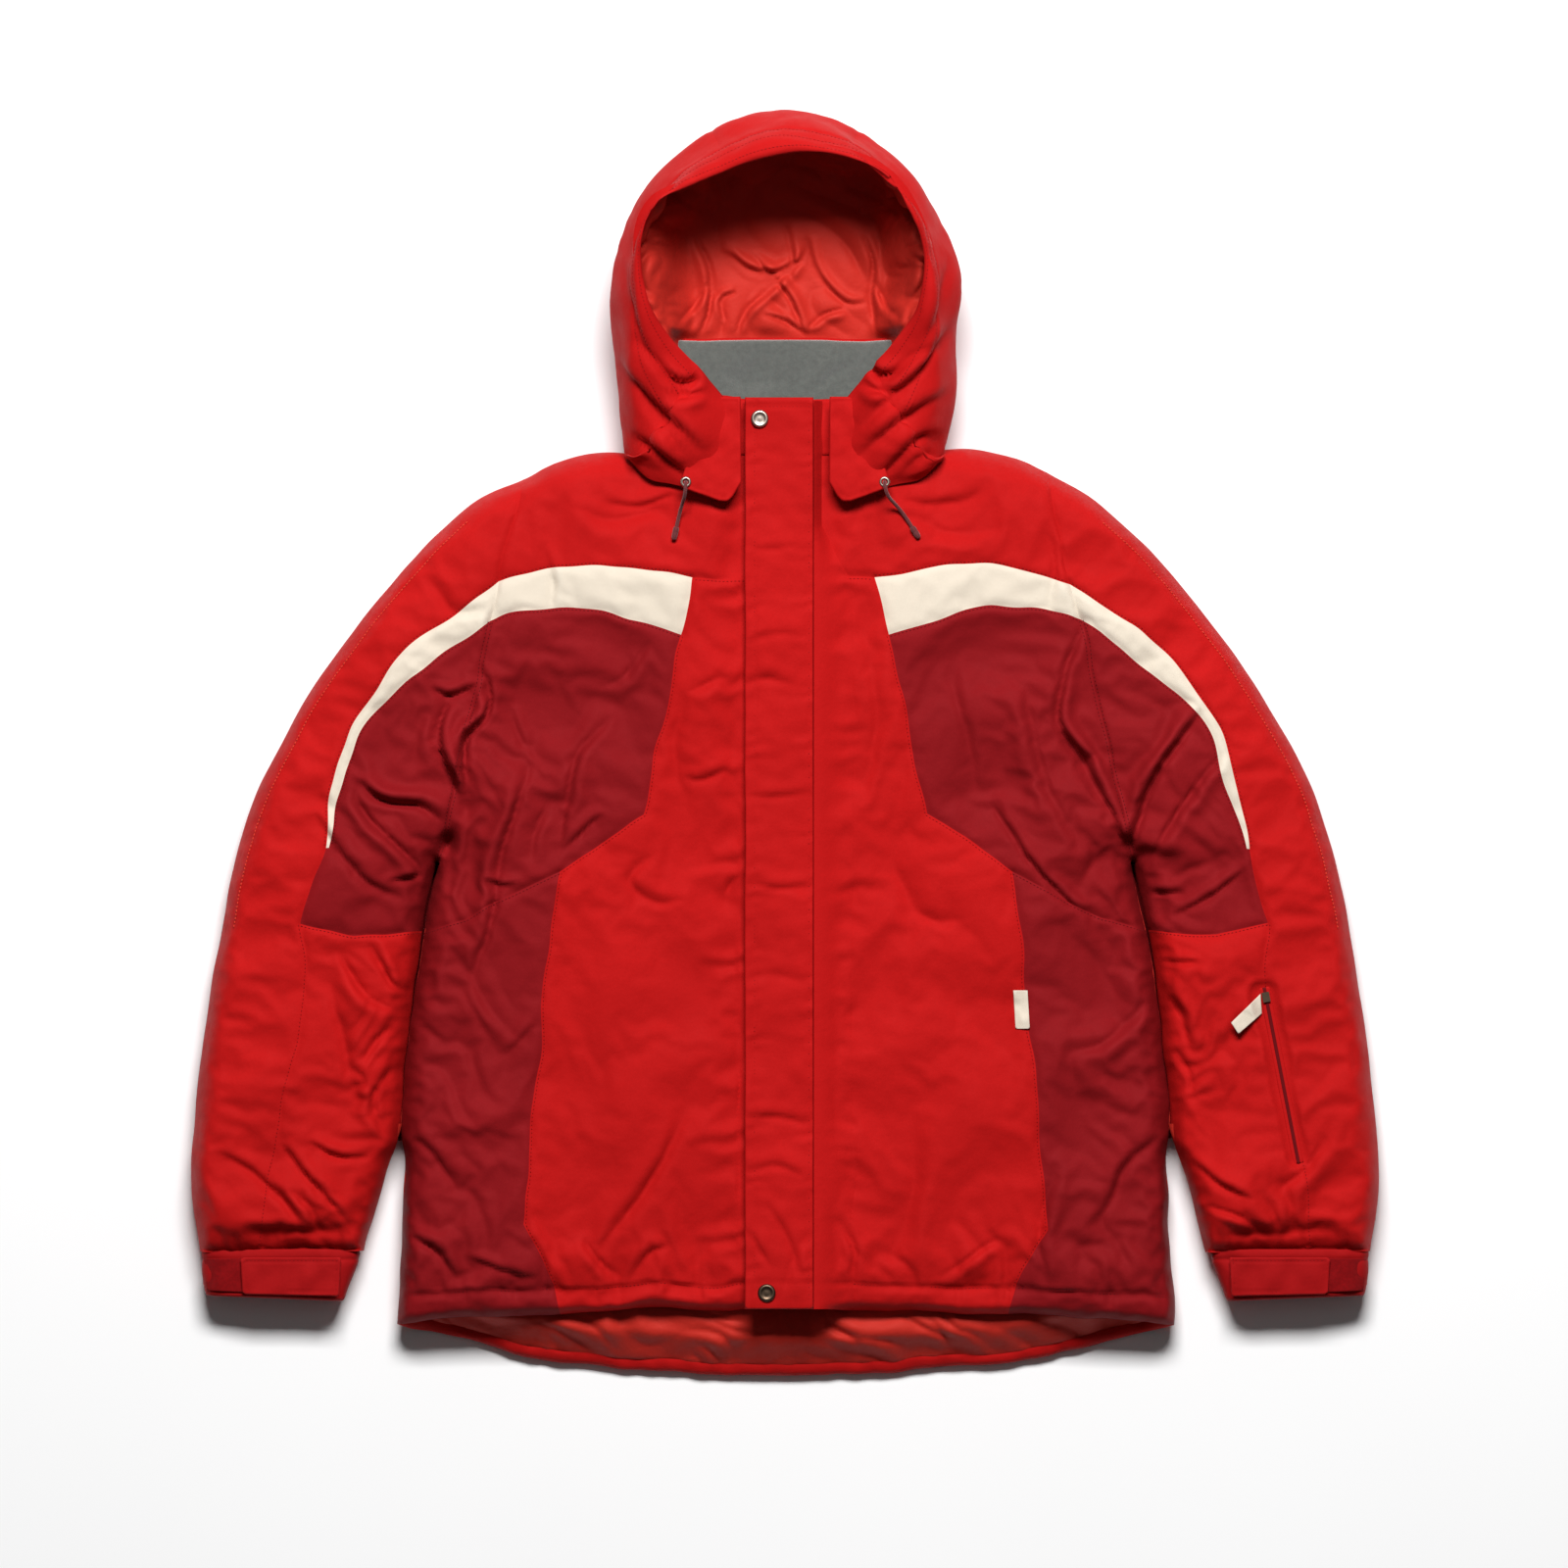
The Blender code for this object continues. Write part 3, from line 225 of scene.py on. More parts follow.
INNER_END = run((0.4565, SLEEVE_END_Y), (0.3650, SLEEVE_END_Y))

# What the front's height falls to: the garment's outline, drawn coarsely to be quick
OUTLINE = [even(line, COARSE) for line in (SHOULDER, SLEEVE_OUTER, SLEEVE_INNER,
                                           np.vstack([[UNDERARM], BODY_EDGE]))]
SHOULDER_SIDE, SLEEVE_OUTSIDE, SLEEVE_INSIDE, BODY_SIDE = OUTLINE
HEM = even(np.vstack([SIDE_HEM, FRONT_HEM]), COARSE)
BACK_HEM_LINE = even(BACK_HEM, COARSE)
SEAMS = [(even(line, 0.010), depth) for line, depth in (
    (TOP, 0.0012), (LOW, 0.0012), (YOKE_SEAM, 0.0009), (STRIPE_END, 0.0010),
    (np.vstack([ARMHOLE_TOP, ARMHOLE_STRIPE, ARMHOLE_LOW]), 0.0022), (CHEST_SEAM, 0.0009),
    (SIDE_SEAM, 0.0010), (UNDERARM_SEAM, 0.0014), (ARM_TOP, 0.0011), (ARM_LOW, 0.0011),
    (np.vstack([UNDER_SLEEVE_EDGE, ELBOW_SEAM]), 0.0013), (FOREARM_SEAM, 0.0008))]


# ---------------------------------------------------------------- heights

def near(points, line):
    """For each point: the distance to a line, how far along the line that is, and the side."""
    best = np.full(len(points), 9.0)
    along = np.zeros(len(points))
    side = np.ones(len(points))
    start = 0.0
    for a, b in zip(line[:-1], line[1:]):
        step = b - a
        length = math.hypot(*step)
        t = np.clip((points - a) @ step / length ** 2, 0, 1)
        away = points - a - t[:, None] * step
        distance = np.hypot(away[:, 0], away[:, 1])
        closer = distance < best
        best[closer] = distance[closer]
        along[closer] = start + t[closer] * length
        side[closer] = np.where(step[0] * away[closer, 1] > step[1] * away[closer, 0], 1, -1)
        start += length
    return best, along, side, start


def mirrored(points):
    """The same places on the wearer's left half, in which the lines are given."""
    return np.column_stack([np.abs(points[:, 0]), points[:, 1]])


def ease(t):
    t = np.clip(t, 0, 1)
    return t * t * (3 - 2 * t)


def quarter(t):
    """A quarter round: 0 at 0 with an upright start, 1 from 1 on."""
    return np.sqrt(1 - (1 - np.clip(t, 0, 1)) ** 2)


def waves(points, length, seed, angle=None, spread=0.5, count=16):
    """Irregular smooth waves of about one length, mostly between -2 and 2."""
    draw = np.random.default_rng(seed)
    total = np.zeros(len(points))
    for _ in range(count):
        heading = draw.uniform(0, math.pi) if angle is None else angle + spread * draw.normal()
        k = 2 * math.pi / (length * draw.uniform(0.7, 1.5))
        total += np.sin(k * (points[:, 0] * math.cos(heading) + points[:, 1] * math.sin(heading))
                        + draw.uniform(0, 2 * math.pi))
    return total / math.sqrt(count / 2)


def crumple(points, length, seed, angle=None, spread=0.5):
    """Rounded puffs between narrow creases, about -1 to 1."""
    bend = np.column_stack([waves(points, 3 * length, seed + 1), waves(points, 3 * length, seed + 2)])
    return np.abs(waves(points + 0.22 * length * bend, length, seed, angle, spread)) - 0.8


def spot(points, x, y, wide, tall=None):
    """1 at a place, fading to 0 around it."""
    tall = tall or wide
    return np.exp(-((points[:, 0] - x) / wide) ** 2 - ((points[:, 1] - y) / tall) ** 2)


def crease(points, line, depth, width, bank=0.8):
    """A fold: a narrow valley along a line and a rounded bank on one side of it."""
    line = np.asarray(line, float)
    reach = 5 * width + 0.01
    close = np.all((points > line.min(axis=0) - reach) & (points < line.max(axis=0) + reach), axis=1)
    made = np.zeros(len(points))
    if not close.any():
        return made
    smooth_line = even(refine(line, 6), 0.006) if len(line) > 2 else even(line, 0.01)
    distance, along, side, total = near(points[close], smooth_line)
    taper = np.sin(np.pi * np.clip(along / total, 0, 1)) ** 0.7
    signed = distance * side * np.sign(bank)
    valley = np.exp(-(distance / (0.62 * width)) ** 1.4)
    ridge = 0.75 * abs(bank) * np.exp(-((signed - 1.7 * width) / (1.5 * width)) ** 2)
    made[close] = depth * taper * (ridge - valley)
    return made


def puckers(points, line, pitch, depth, reach, seed):
    """Short folds square to a seam, deepest at it."""
    distance, along, side, _ = near(points, line)
    draw = np.random.default_rng(seed)
    phase = sum(draw.uniform(0.4, 1.0) * np.sin(along * k + draw.uniform(0, 6))
                for k in (2 * math.pi / (pitch * f) for f in (2.3, 3.7, 5.9)))
    strength = 0.55 + 0.45 * np.sin(along * 2 * math.pi / (pitch * 7) + draw.uniform(0, 6) + phase)
    return depth * strength * np.sin(along * 2 * math.pi / pitch + 2.2 * phase + side * 0.6) \
        * np.exp(-(distance / reach) ** 1.3)


# Folds as (points, depth, width, bank); a negative bank is on the right of the line's run
FOLDS = [
    # the wearer's right armhole and upper sleeve
    ([(-0.308, 0.046), (-0.290, 0.040), (-0.268, 0.053)], 0.0055, 0.0040, 0.9),
    ([(-0.2924, 0.0360), (-0.2990, 0.003), (-0.2865, -0.0470)], 0.0105, 0.0042, 0.9),
    ([(-0.2610, 0.0600), (-0.2576, 0.0285), (-0.2771, -0.0004), (-0.2788, -0.0461)], 0.0115, 0.0045, -0.9),
    ([(-0.2397, 0.0305), (-0.2227, -0.0034)], 0.0030, 0.0045, 0.8),
    ([(-0.3660, -0.030), (-0.3480, -0.048), (-0.3180, -0.052), (-0.3010, -0.066)], 0.0080, 0.0050, 0.9),
    ([(-0.3720, -0.040), (-0.3560, -0.070), (-0.3330, -0.094), (-0.3160, -0.112)], 0.0080, 0.0050, -0.8),
    ([(-0.4100, -0.060), (-0.3900, -0.095), (-0.3560, -0.126), (-0.3300, -0.138)], 0.0045, 0.0060, 0.8),
    ([(-0.3430, -0.122), (-0.3260, -0.118), (-0.3140, -0.112)], 0.0050, 0.0036, 0.8),
    # the wearer's right chest
    ([(-0.1150, 0.0900), (-0.1420, 0.0560), (-0.1640, 0.0440)], 0.0030, 0.0050, 0.8),
    ([(-0.1500, 0.0200), (-0.1777, -0.0100), (-0.1900, -0.0560), (-0.1972, -0.0948)], 0.0042, 0.0050, 0.8),
    ([(-0.1564, -0.0603), (-0.1720, -0.0730), (-0.1930, -0.0935)], 0.0040, 0.0042, -0.8),
    ([(-0.2202, -0.0142), (-0.2423, -0.0888), (-0.2499, -0.1432), (-0.2700, -0.1990)], 0.0062, 0.0062, -0.9),
    ([(-0.2050, -0.0500), (-0.2180, -0.0800), (-0.2200, -0.1050)], 0.0030, 0.0045, 0.8),
    ([(-0.2580, -0.1180), (-0.2420, -0.1240), (-0.2300, -0.1220)], 0.0034, 0.0036, 0.8),
    # the wearer's right forearm
    ([(-0.3600, -0.1720), (-0.3420, -0.2080), (-0.3280, -0.2140)], 0.0050, 0.0048, 0.9),
    ([(-0.3880, -0.1800), (-0.3640, -0.2180), (-0.3380, -0.2330)], 0.0050, 0.0055, -0.8),
    ([(-0.3400, -0.2470), (-0.3560, -0.2600), (-0.3680, -0.2820)], 0.0040, 0.0050, 0.8),
    ([(-0.3380, -0.2800), (-0.3560, -0.3060), (-0.3500, -0.3400)], 0.0040, 0.0048, -0.8),
    ([(-0.3960, -0.2050), (-0.3830, -0.2600), (-0.3650, -0.3200)], 0.0030, 0.0090, 0.8),
    ([(-0.4380, -0.3440), (-0.4220, -0.3680), (-0.4000, -0.3900), (-0.3790, -0.4150)], 0.0055, 0.0048, 0.9),
    ([(-0.4150, -0.3450), (-0.3960, -0.3560), (-0.3780, -0.3620), (-0.3600, -0.3600)], 0.0046, 0.0048, 0.9),
    ([(-0.4900, -0.3550), (-0.4560, -0.3760), (-0.4180, -0.4180)], 0.0036, 0.0060, 0.8),
    ([(-0.4300, -0.3850), (-0.4120, -0.4020), (-0.4020, -0.4260)], 0.0034, 0.0040, -0.8),
    # the wearer's left armhole and sleeve
    ([(0.2380, 0.0560), (0.2400, 0.0166), (0.2754, -0.0472), (0.2943, -0.0948)], 0.0125, 0.0050, 0.9),
    ([(0.3600, 0.0320), (0.3400, -0.0040), (0.3180, -0.0400), (0.3009, -0.0853)], 0.0100, 0.0056, -0.9),
    ([(0.3800, -0.0060), (0.3560, -0.0400), (0.3300, -0.0760), (0.3120, -0.1122)], 0.0055, 0.0050, 0.8),
    ([(0.3043, -0.1276), (0.3200, -0.1300), (0.3480, -0.1286)], 0.0052, 0.0040, 0.9),
    ([(0.3960, -0.1108), (0.3700, -0.1320), (0.3340, -0.1490)], 0.0045, 0.0042, -0.8),
    ([(0.3160, -0.1853), (0.3340, -0.1900), (0.3593, -0.1890)], 0.0045, 0.0040, 0.8),
    ([(0.2560, 0.0980), (0.2420, 0.0640), (0.2390, 0.0360)], 0.0040, 0.0050, 0.8),
    # the wearer's left chest
    ([(0.1760, -0.0500), (0.1989, -0.0863), (0.2329, -0.1245), (0.2600, -0.1488)], 0.0050, 0.0048, 0.9),
    ([(0.1400, 0.0700), (0.1560, 0.0100), (0.1680, -0.0500)], 0.0024, 0.0080, 0.8),
    ([(0.2080, 0.0520), (0.2200, -0.0100), (0.2480, -0.0800)], 0.0030, 0.0070, -0.8),
    # the wearer's left forearm
    ([(0.3240, -0.2100), (0.3420, -0.2360), (0.3520, -0.2700)], 0.0040, 0.0050, 0.8),
    ([(0.3280, -0.2560), (0.3460, -0.2800), (0.3540, -0.3120)], 0.0034, 0.0050, -0.8),
    ([(0.3560, -0.3640), (0.3780, -0.3820), (0.4060, -0.3950)], 0.0044, 0.0046, 0.9),
    ([(0.3640, -0.4000), (0.3900, -0.4080), (0.4150, -0.4240)], 0.0042, 0.0042, -0.8),
    ([(0.4700, -0.3400), (0.4500, -0.3700), (0.4250, -0.3900)], 0.0030, 0.0060, 0.8),
    # beside the storm flap
    ([(-0.0450, -0.1300), (-0.0440, -0.1500), (-0.0400, -0.2903), (-0.0391, -0.4603)], 0.0050, 0.0042, 0.7),
    ([(-0.0500, -0.1320), (-0.0430, -0.1180), (-0.0370, -0.1140)], 0.0040, 0.0040, 0.8),
    ([(0.0417, -0.1750), (0.0430, -0.2900), (0.0440, -0.4100)], 0.0042, 0.0042, -0.7),
    ([(-0.0400, 0.0600), (-0.0640, 0.0560), (-0.0850, 0.0440)], 0.0030, 0.0060, 0.8),
    ([(-0.0420, -0.0200), (-0.0700, -0.0340), (-0.0860, -0.0300)], 0.0030, 0.0050, -0.8),
    ([(-0.0850, 0.0500), (-0.0950, 0.0000), (-0.0880, -0.0500)], 0.0022, 0.0090, 0.8),
    ([(-0.1100, -0.0900), (-0.1350, -0.1200), (-0.1120, -0.1400), (-0.0850, -0.1360)], 0.0030, 0.0080, 0.8),
    ([(0.0700, 0.1000), (0.0780, 0.0200), (0.0660, -0.0400)], 0.0018, 0.0100, 0.8),
    ([(0.0900, -0.0950), (0.1200, -0.1500), (0.1650, -0.1500)], 0.0028, 0.0110, 0.8),
    # the lower front and the sides above the hem
    ([(-0.1598, -0.4355), (-0.1240, -0.3900), (-0.0859, -0.3243)], 0.0040, 0.0065, 0.8),
    ([(-0.1750, -0.4270), (-0.1600, -0.4480), (-0.1400, -0.4640)], 0.0040, 0.0042, -0.9),
    ([(-0.1330, -0.4640), (-0.1180, -0.4420), (-0.1020, -0.4350)], 0.0034, 0.0046, 0.9),
    ([(-0.3300, -0.4200), (-0.3050, -0.4360), (-0.2820, -0.4640)], 0.0050, 0.0050, 0.9),
    ([(-0.2750, -0.4450), (-0.2450, -0.4580), (-0.2150, -0.4640)], 0.0036, 0.0042, 0.8),
    ([(-0.3260, -0.3400), (-0.3060, -0.3560), (-0.2850, -0.3900)], 0.0026, 0.0060, 0.8),
    ([(-0.2450, -0.2700), (-0.2280, -0.2540), (-0.2140, -0.2420)], 0.0022, 0.0046, 0.8),
    ([(0.3200, -0.2150), (0.2800, -0.2550), (0.2450, -0.2700)], 0.0026, 0.0070, 0.8),
    ([(0.3260, -0.3400), (0.2960, -0.3700), (0.2700, -0.4200)], 0.0030, 0.0070, -0.8),
    ([(0.2350, -0.3600), (0.2200, -0.4200), (0.2280, -0.4620)], 0.0028, 0.0065, 0.8),
    ([(0.1850, -0.4300), (0.1550, -0.4480), (0.1300, -0.4640)], 0.0036, 0.0046, 0.9),
    ([(0.0560, -0.4640), (0.0620, -0.4400), (0.0480, -0.4150)], 0.0036, 0.0042, 0.8),
    ([(0.1150, -0.3200), (0.1100, -0.3900), (0.0900, -0.4500)], 0.0022, 0.0100, 0.8),
    # the yoke and the shoulders
    ([(-0.1050, 0.2020), (-0.1500, 0.1940), (-0.1850, 0.2060)], 0.0026, 0.0080, 0.8),
    ([(-0.0950, 0.2150), (-0.1250, 0.2050), (-0.1600, 0.2080)], 0.0030, 0.0050, -0.8),
    ([(0.1000, 0.2120), (0.1400, 0.2080), (0.1750, 0.2180)], 0.0030, 0.0060, 0.8),
    ([(0.1080, 0.1980), (0.1500, 0.1820), (0.1900, 0.1880)], 0.0022, 0.0080, -0.8),
    ([(-0.3100, 0.1450), (-0.2850, 0.1150), (-0.2600, 0.1180)], 0.0020, 0.0070, 0.8),
    ([(0.2250, 0.1850), (0.2350, 0.1500), (0.2300, 0.1150)], 0.0022, 0.0060, 0.8),
    ([(-0.2060, 0.1640), (-0.2000, 0.1350), (-0.2080, 0.1120)], 0.0022, 0.0045, 0.8),
]


FOLD_DEPTH, FOLD_WIDTH = 1.3, 0.85  # what the listed depths and widths are multiplied by

# Deep hollows where several folds meet, as (x, y, wide, tall, depth)
HOLLOWS = [(-0.2945, -0.0860, 0.0060, 0.0105, 0.020), (-0.2790, -0.0560, 0.0050, 0.0090, 0.006),
           (0.2990, -0.0860, 0.0050, 0.0100, 0.010), (-0.2630, 0.0470, 0.0040, 0.0080, 0.005)]


def soft_folds(points):
    """The folds, the crumpled places and the small waves of the front's cloth."""
    high = -sum(depth * spot(points, x, y, wide, tall) for x, y, wide, tall, depth in HOLLOWS)
    for line, depth, width, bank in FOLDS:
        high += crease(points, line, FOLD_DEPTH * depth, FOLD_WIDTH * width, bank)
    underarm = sum(spot(points, s * 0.315, -0.090, 0.055, 0.075) for s in (1, -1))
    elbow = sum(spot(points, s * 0.350, -0.250, 0.045, 0.085) for s in (1, -1))
    wrist = sum(spot(points, s * 0.430, -0.415, 0.080, 0.045) for s in (1, -1))
    side = sum(spot(points, s * 0.285, -0.300, 0.055, 0.240) for s in (1, -1))
    hem = np.exp(-((points[:, 1] + 0.455) / 0.035) ** 2) * (np.abs(points[:, 0]) < 0.35)
    high += 0.0017 * underarm * crumple(points, 0.034, 11, 0.6, 0.5)
    high += 0.0014 * elbow * crumple(points, 0.032, 21)
    high += 0.0015 * wrist * crumple(points, 0.036, 31, 0.9, 0.5)
    high += 0.0009 * side * crumple(points, 0.048, 41, 0.8, 0.4)
    high += 0.0010 * hem * crumple(points, 0.038, 51, 0.5, 0.6)
    high += 0.0012 * waves(points, 0.130, 61) + 0.0003 * waves(points, 0.055, 71)
    high += 0.00012 * waves(points, 0.020, 81) + 0.0003 * crumple(points, 0.065, 91)
    return high


def sewn_height(points):
    """The top of the front's cloth over each place, as sewn and padded, before it settles."""
    half = mirrored(points)
    edge = np.min([near(half, line)[0] for line in OUTLINE], axis=0)
    body_side = near(half, BODY_SIDE)[0]
    arm_line = np.array([SHOULDER_TIP, UNDERARM])
    heading = (arm_line[1] - arm_line[0]) / np.linalg.norm(arm_line[1] - arm_line[0])
    inside = (half[:, 1] - arm_line[0][1]) * heading[0] - (half[:, 0] - arm_line[0][0]) * heading[1]
    body = ease(0.5 - inside / 0.10)
    high = SEAM_Z + ROUND * quarter(edge / 0.022) + PUFF * quarter(edge / (0.060 + 0.040 * body))
    shown = ease(edge / 0.016)
    high += shown * soft_folds(points)
    for line, depth in SEAMS:
        distance = near(half, line)[0]
        high -= depth * np.exp(-(distance / 0.0026) ** 1.5) * shown
    high = front_edges(points, half, high, body_side)
    return sleeve_end(points, half, high, edge)


def front_edges(points, half, high, body_side):
    """The hem with its turned and stitched edge, and the edge along the zip under the flap."""
    hem_distance = near(half, HEM)[0]
    torso = (half[:, 0] < 0.337) & (half[:, 1] < -0.30) & (body_side < 0.5)
    low = 0.030 + 0.008 * quarter(body_side / 0.05) - 0.010 * (1 - quarter(body_side / 0.03))
    rise = quarter(hem_distance / 0.009)
    band = low + 0.014 * rise + (high - low - 0.014) * ease(hem_distance / 0.055)
    band += 0.0012 * ease(hem_distance / 0.01) * (1 - ease((hem_distance - 0.014) / 0.008))
    band -= 0.0024 * np.exp(-((hem_distance - HEM_ROW) / 0.0022) ** 2) * ease(body_side / 0.01)
    stitched = puckers(points, np.array([(-0.34, -0.474), (0.0, -0.4665), (0.34, -0.474)]), 0.019, 0.0011,
                       0.016, 5)
    band += stitched * ease(hem_distance / 0.012)
    near_hem = torso & (hem_distance < 0.055)
    high = np.where(near_hem, np.minimum(band, high + 0.002), high)
    middle = ease((0.067 - half[:, 0]) / 0.030)
    torso_middle = half[:, 0] < 0.08
    flattened = np.minimum(high, UNDER_FLAP + 0.0014 - 0.0014 * middle)
    high = np.where(torso_middle, high + (flattened - high) * middle, high)
    beside = 0.0
    for x, pitch, reach, seed in ((0.0265, 0.030, 0.018, 8), (-0.040, 0.034, 0.020, 9)):
        line = np.array([(x, -0.48), (x, 0.24)])
        beside = beside + puckers(points, line, pitch, 0.0012, reach, seed)
    high = high + np.where(torso_middle & (half[:, 0] > 0.02), beside, 0)
    opening = quarter((half[:, 0] - FRONT_OPENING) / 0.006)
    return np.where(half[:, 0] < 0.0186, high - 0.008 * (1 - opening), high)


def front_height(points):
    """The top of the front's cloth over each place, once it has settled."""
    half = mirrored(points)
    x, y = half.T
    calm = ease((x - 0.030) / 0.020) + (y > 0.5)
    neck = 1 - (1 - ease((0.249 - y) / 0.030)) * (x < 0.16)
    throat = 1 - 0.8 * ease((0.135 - x) / 0.02) * ease((y - 0.195) / 0.02)
    high = sewn_height(points) + settled_lift(points) * calm * neck * throat
    cords = ease((0.132 - x) / 0.012) * ease((x - 0.074) / 0.008) * ease((y - 0.168) / 0.012)
    high = high + (np.minimum(high, 0.0641) - high) * cords
    beside_flap = ease((0.052 - x) / 0.012)
    high = high + (np.minimum(high, 0.0635) - high) * beside_flap
    pocket = near(points, np.array(POCKET))[0]
    return np.minimum(high, 0.0583 + 0.030 * ease((pocket - 0.004) / 0.030))


def sleeve_end(points, half, high, edge):
    """The sleeve is gathered into its cuff."""
    away = half[:, 1] - SLEEVE_END_Y
    sleeve = (half[:, 0] > 0.345) & (away < 0.03)
    top = 0.0395 + 0.014 * quarter((away - 0.003) / 0.020)
    gathers = 0.0
    for ends, pitch, seed in (((-0.52, -0.35), 0.013, 6), ((0.35, 0.52), 0.014, 7)):
        line = np.array([(x, SLEEVE_END_Y) for x in ends])
        gathers = gathers + puckers(points, line, pitch, 0.0011, 0.014, seed)
    top = np.minimum(high, top) + gathers * ease(edge / 0.016) * ease(away / 0.006)
    share = 1 - ease((away - 0.014) / 0.016)
    return np.where(sleeve, high + (top - high) * share, high)


# How each shoulder lies above or below its pattern, as (x, y, wide, much)
SHOULDER_LIFTS = [(0.158, 0.254, 0.036, 0.0078), (-0.156, 0.254, 0.030, 0.0052),
                  (-0.224, 0.236, 0.036, -0.0055)]


def drift(points):
    """A small sideways wander of every seam and edge of the lying cloth."""
    x = 0.0011 * waves(points, 0.110, 101) + 0.0004 * waves(points, 0.038, 102)
    y = 0.0011 * waves(points, 0.110, 103) + 0.0004 * waves(points, 0.038, 104)
    half = mirrored(points)
    outer = np.minimum(near(half, SHOULDER_SIDE)[0], near(half, SLEEVE_OUTSIDE)[0])
    calm = (1 - ease((0.05 - half[:, 0]) / 0.02)) * (0.35 + 0.65 * ease(outer / 0.05))
    y = y * calm + sum(much * spot(points, at, high, wide) for at, high, wide, much in SHOULDER_LIFTS)
    return np.column_stack([x * calm + touching(points), y])


def touching(points):
    """The padded side of the body and the sleeve beside it swell against each other."""
    half = mirrored(points)
    body = near(half, BODY_SIDE)[0]
    sleeve = near(half, SLEEVE_INSIDE)[0]
    gap = np.interp(-half[:, 1], [0.103, 0.125, 0.171, 0.290, 0.330, 0.36],
                    [0.0006, 0.0014, 0.0017, 0.0019, 0.0026, 0.0])
    gap = gap * (half[:, 1] < -0.1031)
    outward = np.where(body < sleeve, np.exp(-body / 0.008), -np.exp(-sleeve / 0.008))
    return np.sign(points[:, 0]) * gap * outward


# ---------------------------------------------------------------- cloth simulation

CELL = 0.0047  # the mesh that settles
TABLE = 0.0022  # between the entries of the table of how far it moved
TABLE_WIDTH, TABLE_LOW, TABLE_HIGH = 0.53, -0.51, 0.26  # what that table covers, in |x| and y


def settled(verts, faces, held, growth, frames=20, bending=0.5):
    """Where the cloth comes to rest when it grows a little against what holds it."""
    scene = bpy.context.scene
    mesh = bpy.data.meshes.new("settling")
    mesh.from_pydata(verts.tolist(), [], [list(map(int, face)) for face in faces])
    cloth = bpy.data.objects.new("settling", mesh)
    scene.collection.objects.link(cloth)
    most = float(growth.max())
    for name, weights in (("held", held), ("still", 1 - growth / most)):
        group = cloth.vertex_groups.new(name=name)
        for i, weight in enumerate(weights):
            group.add([i], float(weight), "REPLACE")
    modifier = cloth.modifiers.new("cloth", "CLOTH")
    settings = modifier.settings
    settings.quality = 5
    settings.mass = 0.3
    settings.tension_stiffness = 15
    settings.compression_stiffness = 15
    settings.shear_stiffness = 5
    settings.bending_stiffness = bending
    settings.shrink_max = 0.0
    settings.shrink_min = -most
    settings.vertex_group_shrink = "still"
    settings.vertex_group_mass = "held"
    settings.pin_stiffness = 1.0
    settings.effector_weights.gravity = 0
    modifier.collision_settings.use_collision = False
    modifier.point_cache.frame_end = frames
    for frame in range(1, frames + 1):
        scene.frame_set(frame)
    shape = cloth.evaluated_get(bpy.context.evaluated_depsgraph_get()).to_mesh()
    moved = np.empty(len(verts) * 3)
    shape.vertices.foreach_get("co", moved)
    bpy.data.objects.remove(cloth)
    bpy.data.meshes.remove(mesh)
    scene.frame_set(1)
    return moved.reshape(-1, 3)


def looseness(points):
    """How much cloth there is to spare, 0 to 1: most at the underarms, elbows, wrists and hem."""
    loose = 0.5 * np.exp(-((np.abs(points[:, 0]) - 0.04) / 0.02) ** 2)
    loose += 0.7 * np.exp(-((points[:, 1] + 0.45) / 0.035) ** 2) * (np.abs(points[:, 0]) < 0.34)
    for x, y, wide, tall, much in ((0.31, -0.06, 0.075, 0.10, 1.0), (0.25, 0.03, 0.07, 0.09, 0.75),
                                   (0.345, -0.25, 0.05, 0.10, 0.8), (0.43, -0.41, 0.09, 0.05, 0.9),
                                   (0.29, -0.28, 0.05, 0.26, 0.7), (0.19, -0.02, 0.05, 0.09, 0.6),
                                   (0.14, 0.20, 0.07, 0.03, 0.35), (0.47, -0.25, 0.05, 0.20, 0.4)):
        loose += much * (spot(points, x, y, wide, tall) + spot(points, -x, y, wide, tall))
    return np.clip(loose, 0, 1)


